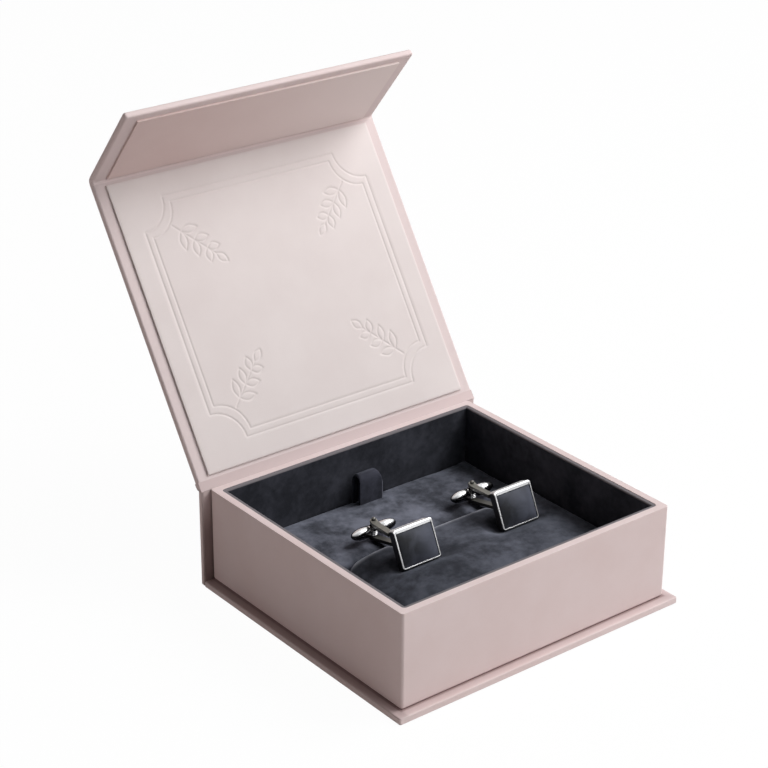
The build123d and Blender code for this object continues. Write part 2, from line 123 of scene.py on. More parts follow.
class Value:
    """A shader socket that expressions can be written with."""

    def __init__(self, graph: Graph, socket: bpy.types.NodeSocket) -> None:
        """Wraps an output socket of a graph's node."""
        self.graph = graph
        self.socket = socket

    def __add__(self, other: Value | float) -> Value:
        """Adds a value or a number."""
        return self.graph.maths("ADD", self, other)

    def __radd__(self, other: float) -> Value:
        """Adds this value to a number."""
        return self.graph.maths("ADD", other, self)

    def __sub__(self, other: Value | float) -> Value:
        """Takes off a value or a number."""
        return self.graph.maths("SUBTRACT", self, other)

    def __rsub__(self, other: float) -> Value:
        """Takes this value off a number."""
        return self.graph.maths("SUBTRACT", other, self)

    def __mul__(self, other: Value | float) -> Value:
        """Multiplies by a value or a number."""
        return self.graph.maths("MULTIPLY", self, other)

    def __rmul__(self, other: float) -> Value:
        """Multiplies a number by this value."""
        return self.graph.maths("MULTIPLY", other, self)


class Graph:
    """The node graph of one material or world."""

    def __init__(self, tree: bpy.types.NodeTree) -> None:
        """Clears a node tree and takes it over."""
        self.tree = tree
        self.tree.nodes.clear()

    def add(
        self,
        kind: str,
        settings: dict[str, object] | None = None,
        sockets: dict[int | str, object] | None = None,
        output: int | str = 0,
    ) -> Value:
        """Adds a node, sets it up and feeds its sockets.

        Args:
            kind: The node's type name.
            settings: Its settings, set before the sockets.
            sockets: A value or a link for each named or numbered input.
            output: The output socket that the result stands for.

        Returns:
            The output socket as a value.
        """
        node = self.tree.nodes.new(kind)
        for name, setting in (settings or {}).items():
            setattr(node, name, setting)
        for key, fed in (sockets or {}).items():
            if isinstance(fed, Value):
                self.tree.links.new(fed.socket, node.inputs[key])
            else:
                node.inputs[key].default_value = fed
        return Value(self, node.outputs[output]) if len(node.outputs) else None

    def maths(self, operation: str, *operands: Value | float) -> Value:
        """Adds a Math node for one or two operands."""
        return self.add("ShaderNodeMath", {"operation": operation}, dict(enumerate(operands)))

    def place(self) -> Value:
        """Gives the point on the surface in object coordinates, in metres."""
        return self.add("ShaderNodeTexCoord", output="Object")

    def along(self, axis: int) -> Value:
        """Gives how far the point on the surface lies along X, Y or Z, in metres."""
        return self.add("ShaderNodeSeparateXYZ", None, {0: self.place()}, axis)

    def noise(self, feature: float, detail: float, rough: float, warp: float = 0.0) -> Value:
        """Adds a noise pattern.

        Args:
            feature: The size of its features.
            detail: How many finer layers it has.
            rough: How strong the finer layers are.
            warp: How much it is distorted.

        Returns:
            The noise, about 0.5 on average.
        """
        sockets = {
            "Vector": self.place(),
            "Scale": 1 / (feature * MM),
            "Detail": detail,
            "Roughness": rough,
            "Distortion": warp,
        }
        return self.add("ShaderNodeTexNoise", None, sockets)

    def blend(self, share: Value, low: object, high: object) -> Value:
        """Mixes two colours by a share from 0 to 1. A Mix node's colour sockets are 6 and 7."""
        return self.add("ShaderNodeMix", {"data_type": "RGBA"}, {0: share, 6: low, 7: high}, 2)

    def ramp(self, share: Value, low: float, high: float) -> Value:
        """Stretches the part of a value between low and high to 0 to 1, with soft ends."""
        sockets = {"Value": share, "From Min": low, "From Max": high}
        return self.add("ShaderNodeMapRange", {"interpolation_type": "SMOOTHSTEP"}, sockets)

    def facing(self, axis: int) -> Value:
        """Gives how far the surface faces along X, Y or Z, from -1 to 1."""
        normal = self.add("ShaderNodeTexCoord", output="Normal")
        return self.add("ShaderNodeSeparateXYZ", None, {0: normal}, axis)

    def bump(self, height: Value, depth: float, strength: float = 1.0) -> Value:
        """Turns a height of 0 to 1 into a normal.

        Args:
            height: The height's share.
            depth: The height that 1 stands for.
            strength: How strongly it shows.

        Returns:
            The normal.
        """
        sockets = {"Height": height, "Distance": depth * MM, "Strength": strength}
        return self.add("ShaderNodeBump", None, sockets)


# --- finishes --------------------------------------------------------------------------------------
# A Share gives where a paper takes its tone of painted light or shade.
Share = Callable[[Graph], Value]

# Painted shade at the tray's foot: how far its dark line and its wider falloff reach over the base
# board.
FOOT_LINE_SHADE, FOOT_SHADE = 0.9 * MM, 5.0 * MM  # how far the tray's foot darkens the base board
# The strip left of the tray where the painted shade deepens, and the heights of the board's top that
# it keeps to.
FOOT_LEFT_SHADE = (51.5 * MM, 52.5 * MM)
BOARD_TOP = (1.7 * MM, 2.1 * MM)
# The heights over which the spine's painted shade fades out.
SPINE_SHADE = (16.0 * MM, 34.0 * MM)
# The span across which the flap card's painted light grows.
FLAP_SPAN = (-50.0 * MM, 62.0 * MM)


@dataclass(frozen=True)
class Finish:
    """A finish, which becomes a material with one Principled shader.

    SLOT names one of the record's material slots; nothing in this script reads it.
    """

    SLOT: ClassVar[Slot | None] = None

    name: str

    @cache
    def material(self) -> bpy.types.Material:
        """Makes the material the first time and gives the same one after that.

        Returns:
            The material.
        """
        material = bpy.data.materials.new(self.name)
        material.use_nodes = True
        graph = Graph(material.node_tree)
        shader = graph.add("ShaderNodeBsdfPrincipled", None, self._sockets(graph))
        graph.add("ShaderNodeOutputMaterial", None, {"Surface": shader})
        return material

    def _sockets(self, graph: Graph) -> dict[str, object]:
        """Gives the shader's sockets, which each kind of finish has of its own."""
        raise NotImplementedError


def painted_foot_shade(graph: Graph) -> Value:
    """Gives the share of painted shade on the base board: 1 at the tray's foot, less towards the
    board's edge, and a little more left of the tray.

    Args:
        graph: The material's node graph.

    Returns:
        The share.
    """
    x, y, z = (graph.along(axis) for axis in range(3))
    side = graph.maths("ABSOLUTE", x) - TRAY_HALF[0] * MM
    away = graph.maths("MAXIMUM", side, -TRAY_HALF[1] * MM - y)
    # Painted shade where the tray meets the board: a dark contact line and a wider falloff.
    near = 1 - graph.ramp(away, 0.0, FOOT_LINE_SHADE) * 0.45 - graph.ramp(away, 0.0, FOOT_SHADE) * 0.5
    # More painted shade on the board left of the tray, on the side away from the key lamp.
    left = graph.ramp(0 - x, *FOOT_LEFT_SHADE) * 0.2
    return (near + left) * graph.ramp(z, *BOARD_TOP)


def upward_painted_shade(graph: Graph) -> Value:
    """Gives 1 where the open lid's or the hinge's paper faces up, which takes a darker tone there as
    painted shade.
    """
    return graph.ramp(graph.facing(2), 0.2, 0.45)


def spine_painted_shade(graph: Graph) -> Value:
    """Gives the share of painted shade on the spine's inner side: 1 low down and less towards its top.
    """
    lost = graph.ramp(graph.along(2), *SPINE_SHADE) * 0.6
    return graph.ramp(0 - graph.facing(1), 0.2, 0.6) * (1 - lost)


def painted_light_to_right(graph: Graph) -> Value:
    """Gives 0 at the box's left side and 1 at its right: the share of the flap card's paler tone,
    painted light that grows towards the right.
    """
    return graph.ramp(graph.along(0), *FLAP_SPAN)


@dataclass(frozen=True)
class PaperFinish(Finish):
    """Uncoated cover paper with faint fibres and clouding, and a tone of painted light or shade on a
    share of it.
    """

    SLOT: ClassVar[Slot] = Slot.COVER_PAPER

    pale: Triple = (229, 212, 211)
    deep: Triple = (224, 205, 203)
    fibre: float = 0.35
    fibre_depth: float = 0.02
    cloud: float = 22.0
    # The tone of painted light or shade, and the share of the paper that takes it.
    other: Triple = (0, 0, 0)
    share: Share | None = None

    def _sockets(self, graph: Graph) -> dict[str, object]:
        """Gives the shader's sockets.

        Args:
            graph: The material's node graph.

        Returns:
            The sockets' values by name.
        """
        cloud = graph.noise(self.cloud, 3.0, 0.55)
        fibres = graph.noise(self.fibre, 3.0, 0.6)
        tone = graph.ramp(cloud * 0.75 + fibres * 0.25, 0.3, 0.7)
        paper = graph.blend(tone, linear(*self.deep), linear(*self.pale))
        # Paints light or shade into the paper's colour where the share is.
        if self.share is not None:
            paper = graph.blend(self.share(graph), paper, linear(*self.other))
        return {
            "Base Color": paper,
            "Roughness": 0.56 + fibres * 0.12,
            "Specular IOR Level": 0.35,
            "Normal": graph.bump(fibres, self.fibre_depth, 0.5),
        }


@dataclass(frozen=True)
class CardFinish(PaperFinish):
    """The lining cards' finish, which is the paper's in other tones."""

    SLOT: ClassVar[Slot] = Slot.LINER_CARD


@dataclass(frozen=True)
class BoardFinish(Finish):
    """Bare greyboard with coarse recycled fibres."""

    name: str = "greyboard"

    def _sockets(self, graph: Graph) -> dict[str, object]:
        """Gives the shader's sockets.

        Args:
            graph: The material's node graph.

        Returns:
            The sockets' values by name.
        """
        fibres = graph.noise(0.8, 4.0, 0.7)
        return {
            "Base Color": graph.blend(fibres, linear(112, 108, 102), linear(166, 161, 153)),
            "Roughness": 0.85,
            "Normal": graph.bump(fibres, 0.05, 0.6),
        }


@dataclass(frozen=True)
class VelvetFinish(Finish):
    """Charcoal velvet whose pile lies in soft brushed patches, with a lighter tone painted on some
    edges as a highlight.
    """

    SLOT: ClassVar[Slot] = Slot.VELVET

    dark: Triple = (26, 27, 32)
    light: Triple = (88, 91, 101)
    patch: float = 15.0
    patch_range: Pair = (0.36, 0.68)
    mottle: float = 2.4
    pile: float = 0.4
    pile_depth: float = 0.1
    sheen: float = 0.16
    # A lighter tone painted as a highlight where an edge catches the light, and the spans along Y, Z
    # and X where it lies.
    painted_highlight: Triple = (120, 115, 118)
    painted_highlight_back: Pair = (0.0, 0.0)
    painted_highlight_z: Pair = (90.0, 91.0)
    painted_highlight_x: Pair = (90.0, 91.0)

    def _sockets(self, graph: Graph) -> dict[str, object]:
        """Gives the shader's sockets.

        Args:
            graph: The material's node graph.

        Returns:
            The sockets' values by name.
        """
        patches = graph.noise(self.patch, 3.0, 0.6, 0.2)
        mottling = graph.noise(self.mottle, 2.0, 0.6)
        pile = graph.noise(self.pile, 2.0, 0.6)
        brushed = graph.ramp(patches * 0.8 + mottling * 0.2, *self.patch_range)
        tone = brushed * 0.7 + mottling * 0.2 + pile * 0.2
        nap = graph.blend(tone, linear(*self.dark), linear(*self.light))
        # Painted highlight on the top and side edges.
        top = graph.ramp(graph.along(2) + mottling * (0.1 * MM), *(z * MM for z in self.painted_highlight_z))
        side = graph.ramp(graph.along(0), *(x * MM for x in self.painted_highlight_x))
        edge = graph.maths("MAXIMUM", top, side)
        # On the cushion, the painted highlight lies instead along the back edge, where it turns up.
        if self.painted_highlight_back[1]:
            back = graph.ramp(graph.along(1), *(y * MM for y in self.painted_highlight_back))
            turned = graph.ramp(graph.facing(2), 0.3, 0.7)
            edge = back * back * turned * (0.75 + mottling * 0.4)
        return {
            "Base Color": graph.blend(edge, nap, linear(*self.painted_highlight)),
            "Roughness": 0.95 - brushed * 0.12,
            "Specular IOR Level": 0.1,
            "Sheen Weight": self.sheen,
            "Sheen Roughness": 0.45,
            "Sheen Tint": linear(205, 212, 228),
            "Normal": graph.bump(pile, self.pile_depth, 0.5),
        }


@dataclass(frozen=True)
class MetalFinish(Finish):
    """Polished plate or drawn wire, with reflections painted into its colour: bright where it faces up
    and dark on its sides.
    """

    SLOT: ClassVar[Slot] = Slot.CHROME

    painted_top_reflection: Triple
    painted_side_reflection: Triple
    rough: float
    smudge: float
    metallic: float = 1.0
    painted_reflection_facing: Pair = (0.05, 0.6)

    def _sockets(self, graph: Graph) -> dict[str, object]:
        """Gives the shader's sockets, with painted reflections: the tops bright and the sides dark.

        Args:
            graph: The material's node graph.

        Returns:
            The sockets' values by name.
        """
        smudges = graph.noise(2.5, 2.0, 0.5)
        # Painted reflection: bright where the surface faces up, dark on its sides.
        painted_reflection_share = graph.ramp(graph.facing(2), *self.painted_reflection_facing)
        return {
            "Base Color": graph.blend(painted_reflection_share, linear(*self.painted_side_reflection), linear(*self.painted_top_reflection)),
            "Metallic": self.metallic,
            "Roughness": self.rough + smudges * self.smudge,
        }


@dataclass(frozen=True)
class InlayFinish(Finish):
    """The dark brushed cloth set in the cufflinks, darker where it faces left and lighter where it
    faces right, as painted shade and light.
    """

    SLOT: ClassVar[Slot] = Slot.INLAY

    name: str = "inlay_cloth"
    # The tones at the painted-shade end and the painted-light end of the dome's slope.
    dark: Triple = (10, 11, 14)
    light: Triple = (84, 87, 99)

    def _sockets(self, graph: Graph) -> dict[str, object]:
        """Gives the shader's sockets.

        Args:
            graph: The material's node graph.

        Returns:
            The sockets' values by name.
        """
        nap = graph.noise(0.25, 2.0, 0.6)
        cloud = graph.ramp(graph.noise(5.0, 3.0, 0.5, 0.5), 0.3, 0.7)
        # Painted shade and light: the dome darkens where it faces left and lightens where it faces
        # right.
        slope = graph.ramp(graph.facing(0) + cloud * 0.06, -0.2, 0.3)
        tone = slope * 0.7 + cloud * 0.2 + nap * 0.1
        return {
            "Base Color": graph.blend(tone, linear(*self.dark), linear(*self.light)),
            "Roughness": 0.62,
            "Specular IOR Level": 0.2,
            "Sheen Weight": 0.1,
            "Sheen Roughness": 0.4,
            "Sheen Tint": linear(210, 215, 230),
            "Normal": graph.bump(nap, 0.05, 0.5),
        }


@dataclass(frozen=True)
class Wardrobe:
    """The finishes of the box."""

    cover: Finish = PaperFinish("cover_paper")
    liner: Finish = CardFinish("liner_card", (223, 213, 211), (218, 207, 205))
    # The flap's card: a pinker copy of the lid's card as painted shade, and paler towards the right as
    # painted light.
    flap_liner: Finish = CardFinish(
        "flap_card_painted_light_and_shade",
        (226, 203, 199),
        (221, 196, 192),
        other=(237, 222, 219),
        share=painted_light_to_right,
    )
    # The base board's paper, with painted shade at the tray's foot.
    base_cover: Finish = PaperFinish("base_paper_painted_shade", other=(150, 127, 126), share=painted_foot_shade)
    # The lid's paper, with painted shade on its inner side.
    lid_cover: Finish = PaperFinish("lid_paper_painted_shade", other=(216, 200, 199), share=upward_painted_shade)
    # The spine's paper, with painted shade low on its inner side.
    spine_cover: Finish = PaperFinish("spine_paper_painted_shade", other=(160, 141, 139), share=spine_painted_shade)
    # The hinge's paper, with painted shade on its inner side.
    hinge_cover: Finish = PaperFinish("hinge_paper_painted_shade", other=(206, 187, 186), share=upward_painted_shade)
    board: Finish = BoardFinish()
    # The linings, with a painted highlight along their top edges.
    lining: Finish = VelvetFinish("lining_velvet", light=(64, 65, 73), painted_highlight_z=(33.0, 33.45))
    pad: Finish = VelvetFinish("pad_velvet", light=(122, 125, 138))
    # The cushion, with a painted highlight along its back edge.
    cushion: Finish = VelvetFinish(
        "cushion_velvet", patch=20.0, light=(97, 100, 111), painted_highlight=(198, 200, 210), painted_highlight_back=(5.6, 9.4)
    )
    # The ribbon, with a painted highlight along its top and its right edge.
    ribbon: Finish = VelvetFinish(
        "ribbon_velvet",
        light=(64, 65, 76),
        painted_highlight=(112, 113, 124),
        painted_highlight_z=(25.7, 26.2),
        painted_highlight_x=(7.75, 8.05),
    )
    # The metals below carry painted reflections: bright tops and dark sides.
    chrome: Finish = MetalFinish(
        "chrome_plate", (228, 228, 229), (66, 66, 69), 0.18, 0.06, painted_reflection_facing=(0.35, 1.0)
    )
    frame: Finish = MetalFinish(
        "frame_plate", (236, 236, 237), (60, 60, 63), 0.42, 0.05, painted_reflection_facing=(0.28, 0.55)
    )
    brushed: Finish = MetalFinish(
        "brushed_plate", (152, 150, 142), (62, 61, 58), 0.34, 0.12, 0.6, (0.3, 0.9)
    )
    # A darker copy of the arm's plate for the lower arm and the pin: painted shade.
    painted_shade_copy: Finish = MetalFinish("painted_shade_copy_plate", (104, 102, 98), (46, 45, 43), 0.36, 0.12, 0.6)
    steel: Finish = MetalFinish("spring_steel", (240, 240, 241), (180, 180, 182), 0.26, 0.06)
    inlay: Finish = InlayFinish()


FINISHES = Wardrobe()


# --- forms -----------------------------------------------------------------------------------------
def verts_of(made: Iterable[object]) -> list[BMVert]:
    """Picks the vertices from what an operator made."""
    return [item for item in made if isinstance(item, BMVert)]


def beyond(edges: list[BMEdge], middle: Pair, outside: bool) -> list[BMEdge]:
    """Picks the edges that lie all outside a rectangle about the origin, or all inside it.

    Args:
        edges: The edges to pick from.
        middle: The rectangle's half size along X and Y.
        outside: True for those outside it.

    Returns:
        The edges.
    """
    return [
        edge
        for edge in edges
        if all((abs(v.co.x) > middle[0] or abs(v.co.y) > middle[1]) == outside for v in edge.verts)
    ]


class Form:
    """A mesh that is being shaped, in millimetres."""

    def __init__(self) -> None:
        """Starts an empty form."""
        self.mesh = bmesh.new()

    def block(self, x: Pair, y: Pair, z: Pair) -> list[BMVert]:
        """Adds a block.

        Args:
            x: Its lowest and highest X.
            y: Its lowest and highest Y.
            z: Its lowest and highest Z.

        Returns:
            Its corners.
        """
        made = bmesh.ops.create_cube(self.mesh, size=1.0)["verts"]
        spans = (x, y, z)
        bmesh.ops.scale(self.mesh, vec=[high - low for low, high in spans], verts=made)
        bmesh.ops.translate(self.mesh, vec=[(low + high) / 2 for low, high in spans], verts=made)
        return made

    def grid(self, width: float, height: float, columns: int, rows: int) -> None:
        """Adds a flat grid about the origin.

        Args:
            width: Its size along X.
            height: Its size along Y.
            columns: How many faces it has along X.
            rows: How many faces it has along Y.
        """
        bmesh.ops.create_grid(self.mesh, x_segments=columns, y_segments=rows, size=0.5)
        self.turn(Matrix.Diagonal((width, height, 1, 1)))

    def cylinder(self, centre: Triple, radius: float, depth: float) -> list[BMVert]:
        """Adds an upright cylinder.

        Args:
            centre: Its middle.
            radius: Its radius.
            depth: Its height.

        Returns:
            Its vertices.
        """
        size = {"radius1": radius, "radius2": radius, "depth": depth}
        made = bmesh.ops.create_cone(self.mesh, cap_ends=True, segments=ROUND_STEPS, **size)["verts"]
        bmesh.ops.translate(self.mesh, vec=centre, verts=made)
        return made

    def edges(self, test: Callable[[BMEdge], bool]) -> list[BMEdge]:
        """Picks the edges that pass a test."""
        return [edge for edge in self.mesh.edges if test(edge)]

    def _within(self, among: Iterable[BMVert] | None) -> list[BMEdge]:
        """Picks the edges between some vertices, or all edges for None."""
        kept = set(self.mesh.verts if among is None else among)
        return self.edges(lambda edge: kept.issuperset(edge.verts))

    def edges_at(
        self, axis: int, place: float, among: Iterable[BMVert] | None = None
    ) -> list[BMEdge]:
        """Picks the edges that lie in a plane.

        Args:
            axis: 0, 1 or 2 for a plane across X, Y or Z.
            place: Where the plane crosses the axis.
            among: The vertices to keep to, or None for all.

        Returns:
            The edges.
        """
        picked = self._within(among)
        near = {vert for vert in self.mesh.verts if abs(vert.co[axis] - place) < TOUCH}
        return [edge for edge in picked if near.issuperset(edge.verts)]

    def edges_along(self, axis: int, among: Iterable[BMVert] | None = None) -> list[BMEdge]:
        """Picks the edges that run along an axis.

        Args:
            axis: 0, 1 or 2 for X, Y or Z.
            among: The vertices to keep to, or None for all.

        Returns:
            The edges.
        """
        picked = self._within(among)
        runs = [edge.verts[1].co - edge.verts[0].co for edge in picked]
        return [edge for edge, run in zip(picked, runs) if abs(run[axis]) > 0.999 * run.length]

    def rim(self) -> list[BMEdge]:
        """Picks the edges of the form's open borders."""
        return self.edges(lambda edge: edge.is_boundary)

    def steep_edges(self) -> list[BMEdge]:
        """Picks the edges whose two faces meet at more than 1.2 radians."""
        return self.edges(lambda edge: edge.calc_face_angle(0) > 1.2)

    def outermost(self, axis: int) -> BMFace:
        """Picks the face that lies furthest along an axis."""
        return max(self.mesh.faces, key=lambda face: face.calc_center_median()[axis])

    def bevel(self, edges: list[BMEdge], width: float, segments: int = 2) -> None:
        """Rounds edges.

        Args:
            edges: The edges.
            width: How far the rounding reaches from each edge.
            segments: How many steps it has.
        """
        bmesh.ops.bevel(
            self.mesh,
            geom=edges,
            offset=width,
            offset_type="OFFSET",
            affect="EDGES",
            segments=segments,
            profile=0.5,
            clamp_overlap=True,
            material=-1,
        )

    def turn(self, matrix: Matrix) -> None:
        """Moves the whole form by a matrix."""
        bmesh.ops.transform(self.mesh, matrix=matrix, verts=list(self.mesh.verts))

    def pull(self, faces: list[BMFace], move: Triple, hollow: bool = True) -> None:
        """Draws faces out of the form, or into it.

        Args:
            faces: The faces.
            move: How far and which way.
            hollow: Whether the old faces go.
        """
        grown = bmesh.ops.extrude_face_region(self.mesh, geom=faces)["geom"]
        if hollow:
            bmesh.ops.delete(self.mesh, geom=faces, context="FACES_ONLY")
        bmesh.ops.translate(self.mesh, vec=move, verts=verts_of(grown))

    def pocket(self, border: float, depth: float, extra: float = 0.0) -> None:
        """Sinks a pocket in the top face.

        Args:
            border: How much of the face stays round the pocket.
            depth: How deep it is.
            extra: How much more stays on its +Y side.
        """
        top = self.outermost(2)
        bmesh.ops.inset_region(self.mesh, faces=[top], thickness=border, use_even_offset=True)
        upper = [vert for vert in top.verts if vert.co.y > 0]
        bmesh.ops.translate(self.mesh, vec=(0, -extra, 0), verts=upper)
        self.pull([top], (0, 0, -depth))

    def thicken(self, level: float) -> list[BMEdge]:
        """Closes a sheet to a solid with a flat underside.

        Args:
            level: The underside's Z.

        Returns:
            The edges of the sheet's rim.
        """
        rim = self.rim()
        made = bmesh.ops.extrude_edge_only(self.mesh, edges=rim)["geom"]
        for vert in verts_of(made):
            vert.co.z = level
        bmesh.ops.contextual_create(self.mesh, geom=self.rim())
        return rim

    def ribbon_of(self, line: list[Pair], x: Pair, steps: int) -> None:
        """Draws a line in the YZ plane out along X to a sheet.

        Args:
            line: The line's (y, z) points.
            x: Where the sheet starts and ends.
            steps: How many faces it has along X.
        """
        front = self.chain([(x[0], *spot) for spot in line])
        for _ in range(steps):
            made = bmesh.ops.extrude_edge_only(self.mesh, edges=front)["geom"]
            bmesh.ops.translate(self.mesh, vec=((x[1] - x[0]) / steps, 0, 0), verts=verts_of(made))
            front = [item for item in made if isinstance(item, BMEdge) and len(item.link_faces) == 1]
            front = [edge for edge in front if abs(edge.verts[0].co.x - edge.verts[1].co.x) < 1e-6]

    def chain(self, line: list[Triple]) -> list[BMEdge]:
        """Draws a line through points.

        Args:
            line: The points.

        Returns:
            The line's edges.
        """
        last = self.mesh.verts.new(line[0])
        made: list[BMEdge] = []
        for point in line[1:]:
            grown = bmesh.ops.extrude_vert_indiv(self.mesh, verts=[last])
            last = grown["verts"][0]
            last.co = point
            made += grown["edges"]
        return made

    def slab_of(self, inner: list[Pair], outer: list[Pair], x: Pair) -> None:
        """Fills the band between two lines in the YZ plane and draws it out along X.

        Args:
            inner: One line's (y, z) points.
            outer: The other line's points, as many and in the same order.
            x: Where the slab starts and ends.
        """
        lines = ([(x[0], *spot) for spot in line] for line in (inner, outer))
        edges = [edge for line in lines for edge in self.chain(line)]
        band = bmesh.ops.bridge_loops(self.mesh, edges=edges)["faces"]
        self.pull(band, (x[1] - x[0], 0, 0), hollow=False)

    def lathe(self, line: list[Pair]) -> None:
        """Turns a profile once round the X axis.

        Args:
            line: The profile's (x, radius) points, which start and end on the axis.
        """
        before = set(self.mesh.verts)
        edges = self.chain([(x, 0.0, radius) for x, radius in line])
        verts = {vert for edge in edges for vert in edge.verts}
        bmesh.ops.spin(
            self.mesh,
            geom=[*edges, *verts],
            cent=(0, 0, 0),
            axis=(1, 0, 0),
            angle=2 * pi,
            steps=ROUND_STEPS,
            use_merge=True,
        )
        made = [vert for vert in self.mesh.verts if vert not in before]
        bmesh.ops.remove_doubles(self.mesh, verts=made, dist=TOUCH)

    def data(self, name: str, recalculate: bool = True) -> bpy.types.Mesh:
        """Ends the form and gives its mesh in metres.

        Args:
            name: The mesh's name.
            recalculate: Whether its normals are turned outwards first.

        Returns:
            The mesh.
        """
        if recalculate:
            bmesh.ops.recalc_face_normals(self.mesh, faces=list(self.mesh.faces))
        bmesh.ops.scale(self.mesh, vec=(MM, MM, MM), verts=list(self.mesh.verts))
        mesh = bpy.data.meshes.new(name)
        self.mesh.to_mesh(mesh)
        self.mesh.free()
        return mesh


def new_object(name: str, data: bpy.types.ID) -> bpy.types.Object:
    """Puts a new object in the scene.

    Args:
        name: Its name.
        data: Its mesh, light or camera.

    Returns:
        The object.
    """
    made = bpy.data.objects.new(name, data)
    bpy.context.scene.collection.objects.link(made)
    return made


def show(
    mesh: bpy.types.Mesh,
    finish: Finish,
    body: str | None,
    *replaced: str,
    crease: float = 40.0,
    even: bool = False,
) -> bpy.types.Object:
    """Turns a mesh into a piece with a finish.

    Args:
        mesh: The mesh, which gives the piece its name.
        finish: Its finish.
        body: The body that it rides on, or None if that is settled afterwards.
        replaced: The nodes that it stands for.
        crease: The angle in degrees over which an edge stays sharp.
        even: Whether its flat faces stay flat beside their rounded edges.

    Returns:
        The piece.
    """
    piece = new_object(mesh.name, mesh)
    mesh.materials.append(finish.material())
    mesh.polygons.foreach_set("use_smooth", [True] * len(mesh.polygons))
    mesh.set_sharp_from_angle(angle=radians(crease))
    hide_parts(*replaced)
    if even:
        piece.modifiers.new("even_shading", "WEIGHTED_NORMAL").keep_sharp = True
    if body:
        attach(piece, body)
    LOG.info("%s: %d faces", piece.name, len(mesh.polygons))
    return piece


def curve(start: Pair, corner: Pair, end: Pair, pull: float, steps: int) -> list[Pair]:
    """Gives points on a line that rounds a corner.

    Args:
        start: Its first (y, z) point.
        corner: The corner where its two ends' directions meet.
        end: Its last point.
        pull: How near it comes to the corner, from 0, straight, to 1.
        steps: How many parts it has.

    Returns:
        The points, both ends included.
    """
    first, mid, last = Vector(start), Vector(corner), Vector(end)
    handles = (first.lerp(mid, pull), last.lerp(mid, pull))
    return [tuple(spot) for spot in interpolate_bezier(first, *handles, last, steps + 1)]


